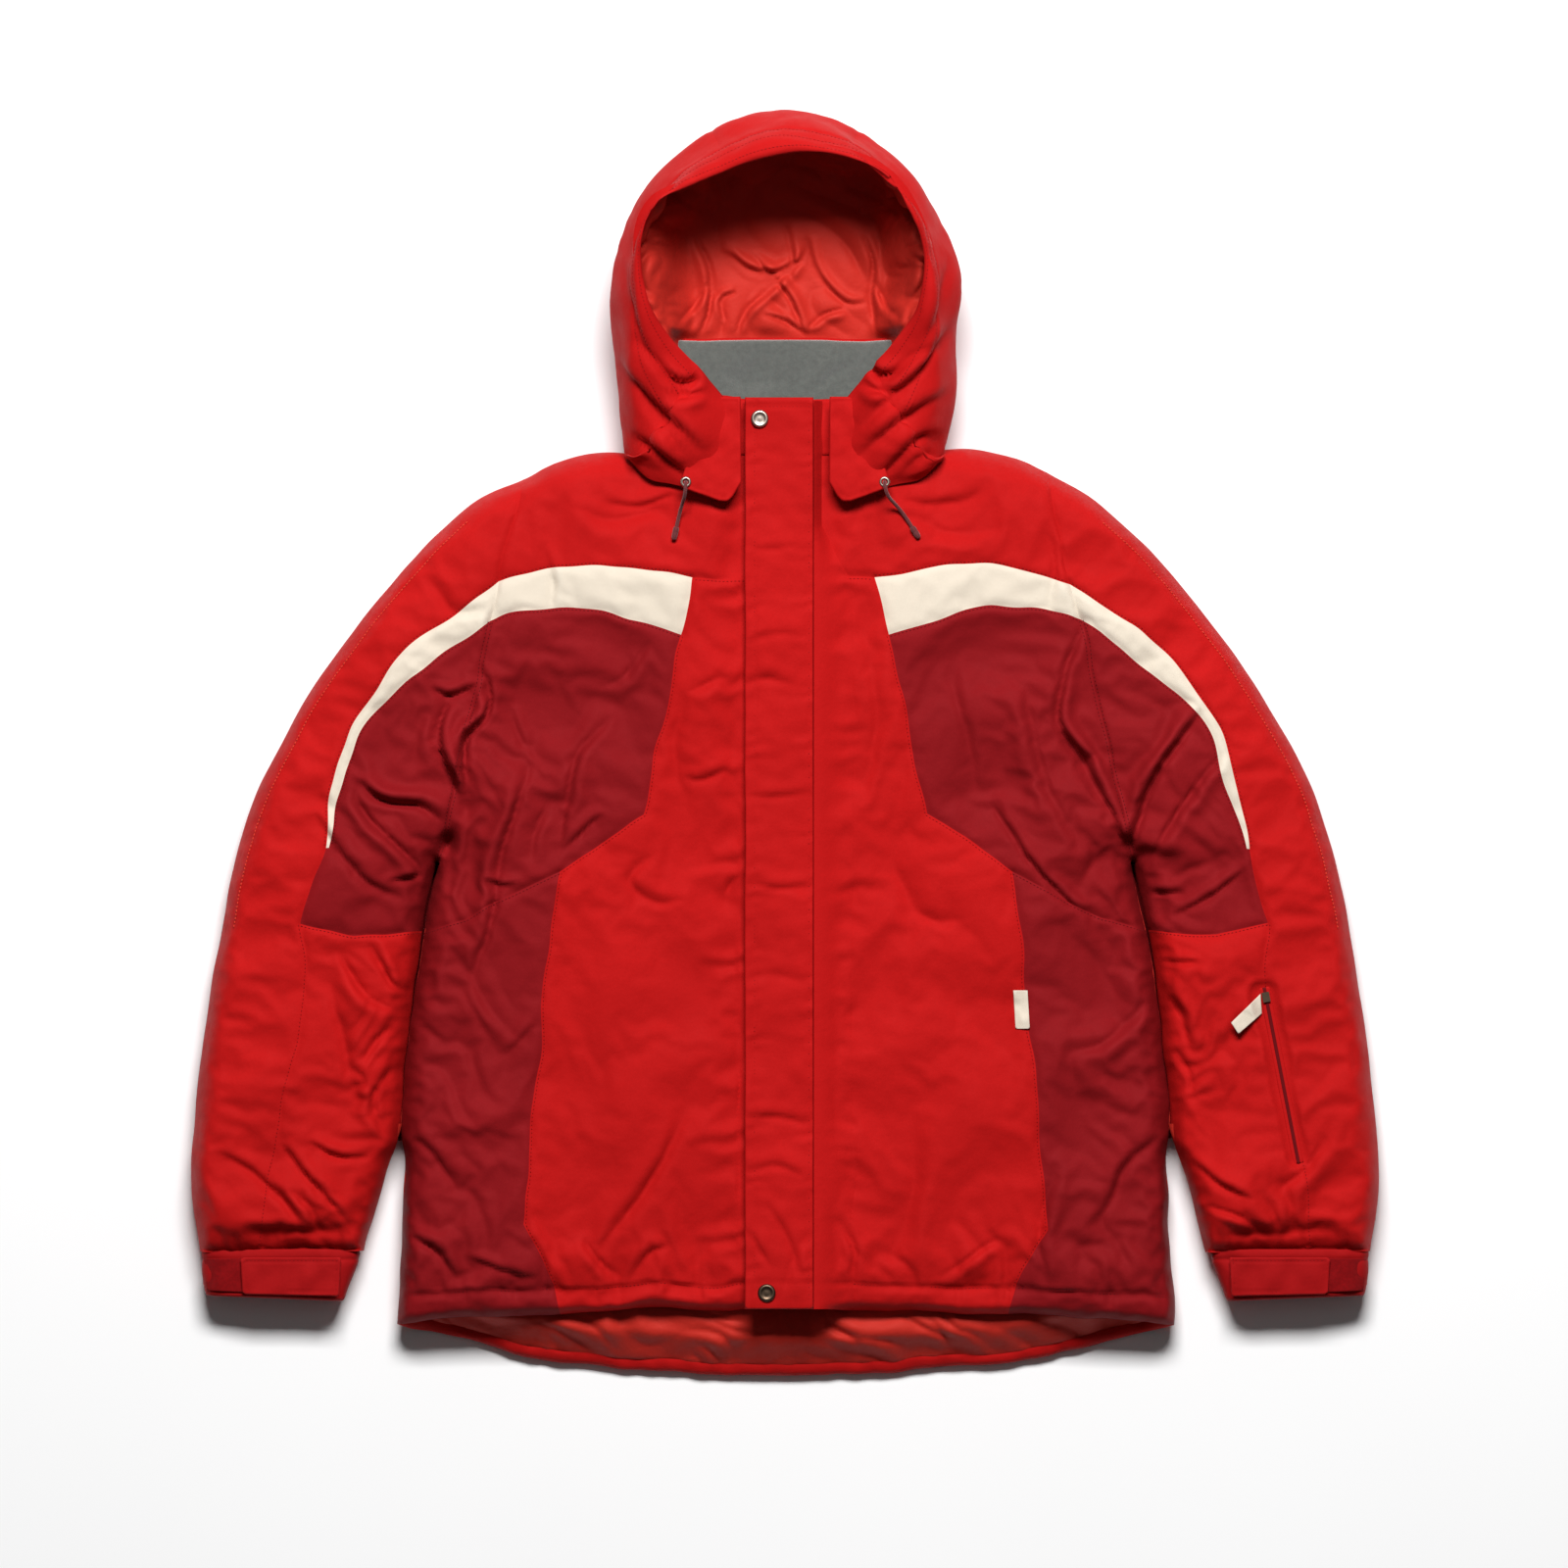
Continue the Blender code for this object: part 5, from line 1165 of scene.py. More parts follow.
def back():
    outline = torso_outline()
    cloth_sheet("back_cloth", outline, back_height, "red_shell", "torso", ["back_panel"], spacing=0.009,
                under=True)
    hem_half = offset(BACK_HEM, -0.0098)
    band = loop(BACK_HEM, flipped(BACK_HEM[::-1], -1), flipped(hem_half, -1), hem_half[::-1])

    def facing(points):
        half = mirrored(points)
        hem = near(half, BACK_HEM_LINE)[0]
        side = near(half, BODY_SIDE)[0]
        low = 0.0062 + (SEAM_Z - 0.0062) * (1 - ease((side - 0.001) / 0.03))
        return low + 0.0072 * quarter(hem / 0.009) + 0.0005 * waves(points, 0.025, 151)
    cloth_sheet("back_hem_facing", band, facing, "red_shell", "torso")
    shown_top = -0.40
    side = cut(BODY_EDGE, shown_top, SIDE_HEM_Y) - [0.0015, 0]
    low_edge = offset(BACK_HEM, -0.0086)
    half = np.vstack([[(0.0, shown_top)], side[side[:, 1] > -0.4900], low_edge])
    cloth_sheet("back_lining_cloth", loop(half, flipped(half[::-1], -1)), lining_height, "lining", "torso",
                ["back_lining"])
    half = np.vstack([NECK - [0, 0.004], cut(SHOULDER, 0.2488, 0.236) - [0, 0.004],
                      [(0.291, -0.103)], cut(BODY_EDGE, -0.12, shown_top) - [0.004, 0]])
    cloth_sheet("back_lining_inside", loop(half, flipped(half[::-1], -1)),
                lambda p: LINING_Z + 0.0012 * waves(p, 0.06, 161), "lining", "torso", spacing=0.014,
                rows=())


def side_seam_binding(side):
    """The bound allowance of the side seam, under the edge of the sleeve."""
    line = even(cut(BODY_EDGE, -0.104, -0.345), 0.006)
    edge = flipped(line, side)
    bulged = edge + drift(edge)
    rows = [np.column_stack([bulged + [side * out, 0], np.full(len(line), z)])
            for out, z in ((-0.0004, 0.0185), (0.0006, 0.0120), (0.0022, 0.0075), (0.0034, 0.0062))]
    faces = grid_faces(len(rows), len(line))
    piece(side_name(side) + "_side_seam_binding", np.vstack(rows), faces, "dark_shell", "torso")


def front_linings():
    for side in (1, -1):
        half = np.vstack([NECK - [0, 0.004], cut(SHOULDER, 0.2488, 0.236) - [0, 0.004],
                          [(0.291, -0.103)], cut(BODY_EDGE, -0.12, SIDE_HEM_Y) - [0.0006, 0],
                          SIDE_HEM, FRONT_HEM, FRONT_EDGE[::-1]])

        def height(points):
            places = mirrored(points)
            body_side = near(places, BODY_SIDE)[0]
            hem = near(places, HEM)[0]
            rolled = 0.030 + 0.008 * quarter(body_side / 0.05) - 0.010 * (1 - quarter(body_side / 0.03))
            inner = FRONT_LINING_Z - 0.010 * (1 - ease(body_side / 0.04)) + 0.0008 * waves(points, 0.05, 171)
            return rolled + (inner - rolled) * ease(hem / 0.012)
        cloth_sheet(side_name(side) + "_front_lining_cloth", loop(flipped(half, side)), height, "lining",
                    "torso", [side_name(side) + "_front_lining"], spacing=0.012, rows=(0.002, 0.006),
                    under=True)


def flag_tab():
    outline = loop(run((0.1975, -0.2140), (0.2100, -0.2140), (0.2120, -0.2475), (0.1995, -0.2475),
                       (0.1975, -0.2140), step=0.002))
    slab("flag_tab_cloth", outline, lambda p: front_height(p) + 0.0006,
         lambda p: front_height(p) + 0.0024 + 0.0003 * waves(p, 0.012, 181), "cream_trim", "torso",
         ["pocket_flag_tab"], radius=0.0008, spacing=0.0018)


def collar():
    """The fleece lined collar seen through the face opening, and the front collar beside the flap."""
    def shape(lift):
        def height(points):
            folds = crease(points, [(0.015, 0.298), (0.040, 0.318), (0.066, 0.338)], 0.0022, 0.006, 0.8)
            folds += crease(points, [(-0.060, 0.322), (-0.030, 0.312), (0.004, 0.316)], 0.0016, 0.008, 0.8)
            spread = lift + 0.010 * (np.abs(points[:, 0]) / 0.094) ** 3
            return spread + folds + 0.0012 * waves(points, 0.050, 191)
        return height
    back_shape = loop(run((-0.080, 0.2515), (0.080, 0.2515), (0.0950, 0.3520), (-0.0950, 0.3520),
                          (-0.080, 0.2515), step=0.004))
    slab("collar_back_cloth", back_shape, shape(0.0138), shape(0.0190), "red_shell", "hood", ["collar_back"])
    fleece_shape = loop(run((-0.080, 0.2525), (0.080, 0.2525), (0.0935, 0.3500), (-0.0935, 0.3500),
                            (-0.080, 0.2525), step=0.004))
    slab("collar_fleece_pile", fleece_shape, shape(0.0196), shape(0.0262), "fleece", "hood",
         ["collar_fleece"], radius=0.0035)
    for side in (1, -1):
        name = side_name(side)
        front = loop(flipped(run((FRONT_OPENING, 0.2485), (0.0740, 0.2485), (0.0580, 0.2990),
                                 (FRONT_OPENING, 0.2975), (FRONT_OPENING, 0.2485), step=0.004), side))
        slab(name + "_collar_front_cloth", front, 0.0525,
             lambda p: 0.0612 + 0.0006 * waves(p, 0.03, 201), "red_shell", "torso",
             [name + "_collar_front"], radius=0.0035)


# ---------------------------------------------------------------- zip, flap and snaps

FLAP_ROWS = (FLAP_X[0] + 0.0085, FLAP_X[1] - 0.0040)  # its rows of stitches, in x
FLAP_END_ROWS = (FLAP_Y[1] - 0.008, FLAP_Y[0] + 0.0225)  # the rows at its ends, in y


def flap_top(points):
    """The storm flap's upper cloth, drawn in by its two rows of stitches."""
    high = FLAP_TOP + 0.0008 * waves(points, 0.075, 211) + 0.0002 * waves(points, 0.02, 212)
    for line, depth, width in (([(-0.036, 0.170), (-0.010, 0.168), (0.012, 0.172)], 0.0016, 0.004),
                               ([(-0.036, 0.050), (-0.018, 0.056), (0.010, 0.050)], 0.0020, 0.005),
                               ([(-0.034, 0.086), (-0.012, 0.094), (0.022, 0.092)], 0.0016, 0.005),
                               ([(-0.036, -0.046), (-0.010, -0.047), (0.022, -0.043)], 0.0020, 0.004),
                               ([(-0.030, -0.122), (-0.006, -0.126), (0.020, -0.124)], 0.0024, 0.004),
                               ([(-0.036, -0.205), (-0.012, -0.200), (0.018, -0.208)], 0.0014, 0.006),
                               ([(-0.034, -0.326), (-0.008, -0.324), (0.020, -0.330)], 0.0026, 0.004),
                               ([(-0.030, -0.372), (-0.008, -0.366), (0.018, -0.376)], 0.0022, 0.004),
                               ([(-0.020, -0.395), (0.000, -0.425), (0.016, -0.470)], 0.0024, 0.0045),
                               ([(-0.034, -0.420), (-0.022, -0.440), (-0.012, -0.455)], 0.0022, 0.0038),
                               ([(0.022, -0.420), (0.008, -0.445), (-0.002, -0.480)], 0.0018, 0.0045)):
        high += crease(points, line, depth, width, 0.9)
    for x in FLAP_ROWS:
        row = np.array([(x, FLAP_Y[0]), (x, FLAP_Y[1])])
        high += puckers(points, row, 0.017, 0.0006, 0.010, 221 + int(x * 1000))
        high -= 0.0010 * np.exp(-((points[:, 0] - x) / 0.0014) ** 2)
    end_row = np.min([np.abs(points[:, 1] - y) for y in FLAP_END_ROWS], axis=0)
    return high - 0.0008 * np.exp(-(end_row / 0.0014) ** 2)


def storm_flap():
    outline = loop(run((FLAP_X[0], FLAP_Y[0]), (FLAP_X[1], FLAP_Y[0]), (FLAP_X[1], FLAP_Y[1]),
                       (FLAP_X[0], FLAP_Y[1]), (FLAP_X[0], FLAP_Y[0])))
    slab("storm_flap_cloth", outline, FLAP_LOW, flap_top, "red_shell", "storm_flap", ["storm_flap"],
         radius=0.0014, spacing=0.0030)
    ends = [[(x, FLAP_Y[0] + 0.004), (x, FLAP_Y[1] - 0.004)] for x in FLAP_ROWS]
    ends += [[(FLAP_X[0] + 0.003, y), (FLAP_X[1] - 0.003, y)] for y in FLAP_END_ROWS]
    lines = [even(np.array(pair), 0.002) for pair in ends]
    rows = [(np.column_stack([line, flap_top(line) + 0.0001]), upright(line)) for line in lines]
    stitching("storm_flap_stitching", rows, "storm_flap", "red_shell", THREAD_RED)


def flap_seam():
    """The storm flap's sewn allowance, which runs down from its hinge edge onto the front."""
    inner, wide, narrow = FLAP_X[1] + 0.0003, 0.036, 0.0075
    top = FLAP_Y[1] - 0.0030
    throat = NECK_Y - 0.060
    outline = loop(run((inner, FLAP_Y[0]), (inner + wide, FLAP_Y[0]), (inner + wide, throat - 0.050),
                       (inner + narrow, throat), (inner + narrow, top), (inner, top), (inner, FLAP_Y[0])))

    def height(points):
        base = np.where(points[:, 1] > NECK_Y - 0.0005, 0.0616, front_height(points))
        across = wide - (wide - narrow) * np.clip((points[:, 1] - throat + 0.050) / 0.050, 0, 1)
        part = (points[:, 0] - inner) / across
        return base + (FLAP_TOP - 0.0003 - base) * (1 - ease(part)) - 0.0009 * (part > 0.98)
    cloth_sheet("storm_flap_seam_cloth", outline, height, "red_shell", "torso", rows=())


def snap(which, place):
    """A domed cap with a rolled rim and a soft dimple, over its stem and socket."""
    base = FLAP_TOP - 0.0004
    dome = [(0.0001, 0.0026), (0.0016, 0.0026), (0.0030, 0.0024), (0.0042, 0.0026), (0.0052, 0.0031),
            (0.0062, 0.0032), (0.0071, 0.0028), (0.0077, 0.0019), (0.0078, 0.0010), (0.0074, 0.0002)]
    below = [(0.0024, 0.0002), (0.0024, -0.0054), (0.0055, -0.0054), (0.0059, -0.0060), (0.0059, -0.0068),
             (0.0040, -0.0072), (0.0001, -0.0072)]
    verts, faces = turned(place, [(r, base + z) for r, z in dome + below], 40)
    slot = "pale_metal" if which == "top" else "dark_metal"
    piece(which + "_snap_button", verts, faces, slot, "storm_flap", [which + "_snap_cap"], merge=0.0001)
    base = UNDER_FLAP
    stud = [(0.0001, 0.0036), (0.0014, 0.0036), (0.0021, 0.0032), (0.0024, 0.0026), (0.0020, 0.0018),
            (0.0046, 0.0016), (0.0056, 0.0011), (0.0057, 0.0004), (0.0001, 0.0004)]
    verts, faces = turned(place, [(r, base + z) for r, z in stud], 32)
    piece(which + "_snap_post", verts, faces, "dark_metal", "torso", [which + "_snap_stud"], merge=0.0001)


def zip_half(side):
    """A woven tape and its row of moulded teeth."""
    name = side_name(side)
    low, high = ZIP_Y
    outline = loop(flipped(run((0.0044, low), (0.0150, low), (0.0150, high), (0.0044, high),
                               (0.0044, low), step=0.010), side))
    slab(name + "_zip_tape_cloth", outline, 0.0497, 0.0511, "zip_tape", "torso", [name + "_zip_tape"],
         radius=0.0005, spacing=0.010)
    verts, faces = [], []
    pitch = 0.0028
    corners = [(0.0052, -0.4), (0.0030, -0.32), (0.0010, -0.42), (0.0004, -0.2), (0.0004, 0.2),
               (0.0010, 0.42), (0.0030, 0.32), (0.0052, 0.4)]
    count = len(corners)
    first = -0.478
    for i in range(int((high - first) / pitch)):
        y = first + pitch * (i + (0.5 if side == 1 else 0.0))
        base = len(verts)
        for z in (0.0491, 0.0525):
            verts += [(x * side, y + share * pitch, z) for x, share in corners]
        faces.append([base + k for k in range(count)][::side])
        faces.append([base + count + k for k in range(count)][::-side])
        for k in range(count):
            after = (k + 1) % count
            faces.append([base + k, base + after, base + count + after, base + count + k][::-side])
    made = piece(name + "_zip_teeth", verts, faces, "zip_tape", "torso")
    made.data.shade_flat()


def keep_metal_parts():
    """The slider, its pull and the sleeve's slider keep their CAD shapes, in worn metal."""
    for name in ("zip_slider", "zip_pull", "sleeve_pocket_slider"):
        node = frame["nodes"][name]
        node.data.materials.clear()
        node.data.materials.append(MATERIALS["dark_metal"])


# ---------------------------------------------------------------- hood

HOOD_CENTRE_Y = 0.390
HOOD_WIDTH = 0.1510
HOOD_DEPTH = 0.1590
CROWN_SHARE = 0.72  # this much of each half is the round crown, the rest the side of the neck
TURNS = [0.0, 0.12, 0.24, 0.36, 0.48, 0.60, 0.72, 0.82, 0.91, 1.0]
RIM = {  # the face opening's edge at those turns
    1: [(0.000, 0.5090, 0.1440), (0.030, 0.5100, 0.1440), (0.056, 0.5050, 0.1430), (0.079, 0.4950, 0.1410),
        (0.099, 0.4760, 0.1375), (0.1140, 0.4470, 0.1320), (0.1200, 0.4130, 0.1240),
        (0.1150, 0.3780, 0.1140), (0.0960, 0.3500, 0.1030), (0.0740, 0.3240, 0.0920)],
    -1: [(0.000, 0.5090, 0.1440), (0.030, 0.5020, 0.1440), (0.058, 0.4910, 0.1420), (0.085, 0.4800, 0.1400),
         (0.1090, 0.4690, 0.1365), (0.1220, 0.4470, 0.1310), (0.1240, 0.4130, 0.1240),
         (0.1180, 0.3800, 0.1150), (0.1000, 0.3520, 0.1040), (0.0760, 0.3260, 0.0930)],
}
THROAT_TURNS = [1.10, 1.16, 1.22, 1.28, 1.34]
THROAT_RIM = [(0.0570, 0.3020, 0.0800), (0.0450, 0.2850, 0.0755), (0.0420, 0.2600, 0.0735),
              (0.0440, 0.2330, 0.0710), (0.0520, 0.2110, 0.0680)]
NECK_SEAM = [(0.1335, 0.2440, 0.0560), (0.1180, 0.2290, 0.0620), (0.0980, 0.2245, 0.0650),
             (0.0760, 0.2190, 0.0665), (0.0520, 0.2110, 0.0680)]
CROWN_SEAM = 0.2296  # the turn of the seams beside the centre panel
BRIM_SHARE = 0.60  # the brim's seam, as a share of the way from the side to the rim


def hood_section(turn):
    """The silhouette's point, its inward direction, and the section's depth and half height."""
    share, side = abs(turn), 1 if turn >= 0 else -1
    if share <= CROWN_SHARE:
        angle = math.pi / 2 * (1 - share / CROWN_SHARE)
        point = np.array([HOOD_WIDTH * math.cos(angle) ** 1.15 if share else 0.0,
                          HOOD_CENTRE_Y + HOOD_DEPTH * math.sin(angle)])
        inward = np.array([0.0, HOOD_CENTRE_Y]) - point
        inward /= np.linalg.norm(inward)
        t = share / CROWN_SHARE
        depth, half_height = 0.060 - 0.005 * t, 0.0740 - 0.010 * t
    else:
        t = (share - CROWN_SHARE) / (1 - CROWN_SHARE)
        point = np.array([HOOD_WIDTH - 0.013 * t * t, HOOD_CENTRE_Y - (HOOD_CENTRE_Y - 0.2506) * t])
        inward = np.array([-1.0, 0.0])
        depth, half_height = 0.055 - 0.010 * t, 0.064 - 0.022 * t
    return point * [side, 1], inward * [side, 1], depth, half_height


def section_point(turn, degrees, sink=0.0):
    point, inward, depth, half_height = hood_section(turn)
    angle = math.radians(degrees)
    place = point + inward * (depth - (depth - sink) * math.cos(angle))
    return np.array([*place, half_height + (half_height - sink) * math.sin(angle)])


def hood_row(turn, rim):
    """Control points of one section: from under the hood, round its side, over to the rim and under it."""
    row = [section_point(turn, d) for d in (-90, -62, -30, 5, 42)]
    inward = np.array([*hood_section(turn)[1], 0.0])
    for share, bulge in ((0.36, 0.0075), (0.68, 0.0085), (0.90, 0.0040)):
        row.append(row[4] + (rim - row[4]) * share + np.array([0, 0, bulge]))
    row += [rim, rim - inward * 0.0012 - [0, 0, 0.0042], rim - inward * 0.0075 - [0, 0, 0.0062]]
    return row


def throat_row(share, rim, side):
    """A section over the hood's front end: it starts at the neck seam's side and ends at the rim."""
    start = hood_row(side * 1.0, np.array(RIM[side][-1]) * [side, 1, 1])
    row = start[:4]
    for k in range(4):
        seam = np.array(NECK_SEAM[k]) * [side, 1, 1]
        place = start[4 + k] + (seam - start[4 + k]) * share
        row.append(place + [0, 0, 0.010 * math.sin(math.pi * share)])
    row += [rim, rim + [0, 0, -0.003], rim + [0.006 * side, 0.0, -0.0045]]
    return row


def hood_net():
    """Control points of the whole hood, from the wearer's right throat over the crown to the left."""
    rows = []
    for side in (-1, 1):
        half = []
        for turn, rim in zip(TURNS, RIM[side]):
            half.append((turn, hood_row(side * max(turn, 1e-6), np.array(rim) * [side, 1, 1])))
        for k, (turn, rim) in enumerate(zip(THROAT_TURNS, THROAT_RIM)):
            share = (k + 1) / len(THROAT_TURNS)
            half.append((turn, throat_row(share, np.array(rim) * [side, 1, 1], side)))
        if side == -1:
            rows += [(-turn, row) for turn, row in reversed(half[1:])]
        else:
            rows += half
    return np.array([t for t, _ in rows]), np.array([row for _, row in rows])


LOWER, UPPER, LIP = 12, 34, 4  # columns of the hood's grid: under and side, side to rim, round the rim
PER_ROW = 8  # rows of the grid between two control rows


def hood_grid():
    turns, net = hood_net()
    dense = refine(net, PER_ROW)
    dense_turns = np.interp(np.arange(len(dense)) / PER_ROW, np.arange(len(turns)), turns)
    grid = []
    for row in dense:
        line = refine(row, 6)
        parts = [line[:3 * 6 + 1], line[3 * 6:8 * 6 + 1], line[8 * 6:]]
        made = []
        for part, count in zip(parts, (LOWER, UPPER, LIP)):
            made.append(resampled(part, count + 1)[:-1])
        grid.append(np.vstack([*made, row[-1:]]))
    return dense_turns, np.array(grid)


HOOD_FOLDS = [  # over the top of the hood's sides, as (points, depth, width, bank)
    ([(-0.146, 0.330), (-0.118, 0.296), (-0.088, 0.268), (-0.072, 0.250)], 0.0070, 0.0050, 0.9),
    ([(-0.140, 0.270), (-0.118, 0.256), (-0.094, 0.236), (-0.084, 0.226)], 0.0060, 0.0050, 0.9),
    ([(-0.135, 0.352), (-0.112, 0.330), (-0.094, 0.312), (-0.084, 0.292)], 0.0050, 0.0046, -0.8),
    ([(-0.128, 0.300), (-0.106, 0.276), (-0.090, 0.250)], 0.0040, 0.0042, -0.8),
    ([(0.148, 0.362), (0.118, 0.322), (0.088, 0.296), (0.066, 0.272)], 0.0070, 0.0050, -0.9),
    ([(0.143, 0.304), (0.110, 0.286), (0.080, 0.262), (0.064, 0.246)], 0.0065, 0.0052, -0.9),
    ([(0.140, 0.262), (0.118, 0.264), (0.096, 0.244), (0.082, 0.228)], 0.0060, 0.0048, -0.9),
    ([(0.134, 0.346), (0.112, 0.336), (0.092, 0.318), (0.080, 0.300)], 0.0044, 0.0042, 0.8),
    ([(0.132, 0.250), (0.116, 0.246), (0.102, 0.232)], 0.0040, 0.0040, 0.8),
    ([(-0.110, 0.322), (-0.092, 0.312), (-0.072, 0.314)], 0.0085, 0.0042, 0.9),
    ([(-0.104, 0.304), (-0.088, 0.300), (-0.070, 0.304)], 0.0060, 0.0038, -0.8),
    ([(-0.084, 0.330), (-0.078, 0.318), (-0.082, 0.306)], 0.0050, 0.0034, 0.8),
    ([(0.068, 0.330), (0.084, 0.318), (0.104, 0.324)], 0.0085, 0.0042, 0.9),
    ([(0.066, 0.312), (0.082, 0.304), (0.100, 0.308)], 0.0060, 0.0038, -0.8),
    ([(0.078, 0.334), (0.076, 0.322), (0.084, 0.310)], 0.0050, 0.0034, -0.8),
    ([(-0.1400, 0.4200), (-0.1330, 0.3700), (-0.1180, 0.3350)], 0.0040, 0.0060, 0.8),
    ([(0.1420, 0.4200), (0.1340, 0.3750), (0.1200, 0.3450)], 0.0040, 0.0060, -0.8),
]


def grid_normals(grid):
    across = np.gradient(grid, axis=1)
    along = np.gradient(grid, axis=0)
    normal = np.cross(along, across)
    return normal / (np.linalg.norm(normal, axis=2)[:, :, None] + 1e-12)


def dressed_hood(turns, grid):
    """The hood's cloth with its folds, puckers, seams and stitched brim."""
    rows, columns, _ = grid.shape
    flat = grid.reshape(-1, 3)
    normals = grid_normals(grid)
    if normals[rows // 2, LOWER + 2, 1] < 0:
        normals = -normals
    upper = np.clip((np.arange(columns) - LOWER) / UPPER, 0, 1)
    shown = ease(upper / 0.2)[None, :] * np.ones((rows, 1))
    move = np.zeros(rows * columns)
    for line, depth, width, bank in HOOD_FOLDS:
        move += crease(flat[:, :2], line, depth, width, bank)
    move = move.reshape(rows, columns) * shown
    around = reaches(grid[:, LOWER + 20])
    place = np.column_stack([np.repeat(around, columns), np.tile(np.arange(columns) * 0.003, rows)])
    softness = waves(place, 0.070, 231).reshape(rows, columns)
    small = crumple(place, 0.040, 241).reshape(rows, columns)
    move += 0.0010 * softness + 0.0003 * small
    throat = ease((np.abs(turns) - 0.70) / 0.2)[:, None]
    brim = upper * UPPER
    seam_column = BRIM_SHARE * UPPER
    for column, depth, width in ((seam_column, 0.0011, 0.9), (UPPER - 3.6, 0.0006, 0.7),
                                 (seam_column + 5.2, 0.0004, 0.7)):
        move -= depth * np.exp(-((brim - column) / width) ** 2)[None, :] * (1 - 0.6 * throat)
    pucker = np.sin(around * 2 * math.pi / 0.016 + 2 * np.sin(around * 31) + np.sin(around * 73))
    pucker = pucker[:, None] * np.exp(-np.abs(brim - seam_column) / 2)[None, :]
    move += 0.0003 * pucker
    for seam in (CROWN_SEAM, -CROWN_SEAM):
        move -= 0.0016 * np.exp(-((turns - seam) / 0.006) ** 2)[:, None] * (brim < seam_column)[None, :]
    edge = np.ones(columns)
    edge[LOWER + UPPER:] = 0.3
    end = ease((1.34 - np.abs(turns)) / 0.05)[:, None]
    made = settled_hood(turns, grid + normals * (move * edge[None, :] * end)[:, :, None], seam_column)
    made[:, :, 2] = np.maximum(made[:, :, 2], 0.0006)
    return made, normals


def settled_hood(turns, grid, seam_column):
    """The hood's cloth falls into folds on its sides; its stiffened brim hardly does."""
    rows, columns, _ = grid.shape
    every = 2  # settle every second row, and put the others between
    part = grid[::every]
    upper = np.arange(columns) - LOWER
    loose = ease((upper + 2) / 6) * (1 - 0.85 * ease((upper - seam_column + 1) / 3))
    far = 0.30 + 0.70 * ease((np.abs(turns[::every]) - 0.45) / 0.35)
    growth = 0.003 + 0.055 * far[:, None] * loose[None, :]
    held = np.full(part.shape[:2], 0.03)
    held[:, :LOWER - 4] = 1.0
    held[:, LOWER + UPPER - 1:] = 1.0
    held[:3] = held[-3:] = 1.0
    for column, weight in ((int(seam_column), 0.6), (LOWER + UPPER - 5, 0.5)):
        held[:, LOWER + column if column < UPPER else column] = weight
    faces = grid_faces(len(part), columns)
    moved = settled(part.reshape(-1, 3), faces, held.ravel(), growth.ravel(), bending=1.0)
    moved = moved.reshape(part.shape) - part
    moved = (np.roll(moved, 1, 1) + 2 * moved + np.roll(moved, -1, 1)) / 4
    index = np.arange(rows) / every
    low = np.clip(index.astype(int), 0, len(part) - 2)
    share = np.clip(index - low, 0, 1)[:, None, None]
    return grid + moved[low] * (1 - share) + moved[low + 1] * share


def hood_piece(name, grid, rows, columns, replaces):
    """The part of the hood's grid between two rows and two columns, with its transform baked into the mesh.
    """
    low, high = rows
    left, right = columns
    part = grid[low:high + 1, left:right + 1]
    verts = part.reshape(-1, 3)
    faces = grid_faces(high - low + 1, right - left + 1)
    bend_at_neck(piece(name, verts, faces, "red_shell", None, replaces, merge=0.00005))


def bend_at_neck(made):
    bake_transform(made)


def hood():
    turns, plain = hood_grid()
    grid, normals = dressed_hood(turns, plain)

    def row_of(turn):
        return int(np.argmin(np.abs(turns - turn)))
    seam_column = LOWER + int(round(BRIM_SHARE * UPPER))
    last = LOWER + UPPER + LIP
    top, bottom = row_of(CROWN_SEAM), row_of(-CROWN_SEAM)
    left, right = row_of(1.0), row_of(-1.0)
    for name, rows, columns, replaces in (
            ("hood_centre_cloth", (bottom, top), (0, seam_column), ["hood_centre_panel"]),
            ("left_hood_cloth", (top, left), (0, seam_column), ["left_hood_panel"]),
            ("right_hood_cloth", (right, bottom), (0, seam_column), ["right_hood_panel"]),
            ("left_hood_front_cloth", (left, len(turns) - 1), (LOWER, last), []),
            ("right_hood_front_cloth", (0, right), (LOWER, last), []),
            ("hood_brim_cloth", (right, left), (seam_column, last), ["hood_brim"])):
        hood_piece(name, grid, rows, columns, replaces)
    rows = []
    for column in (seam_column + 1, LOWER + UPPER - 3, seam_column + 6):
        stretch = slice(right, left + 1)
        rows.append((grid[stretch, column] + normals[stretch, column] * 0.0002, normals[stretch, column]))
    bend_at_neck(stitching("hood_stitching", rows, None, "red_shell", THREAD_RED))
    hood_floor(grid, row_of)
    hood_lining(turns, grid, row_of)


def hood_floor(grid, row_of):
    """The back of the hood, flat on the floor inside the ring of its sections."""
    ring = grid[row_of(-1.0):row_of(1.0) + 1, 0, :2]
    outline = loop(even(ring, 0.006), run(ring[-1], ring[0], step=0.006))
    points, faces = filled(outline, 0.009, ())
    verts = np.column_stack([points, np.full(len(points), 0.0008)])
    made = piece("hood_back_cloth", verts, [f[::-1] for f in faces], "red_shell", None)
    bend_at_neck(made)


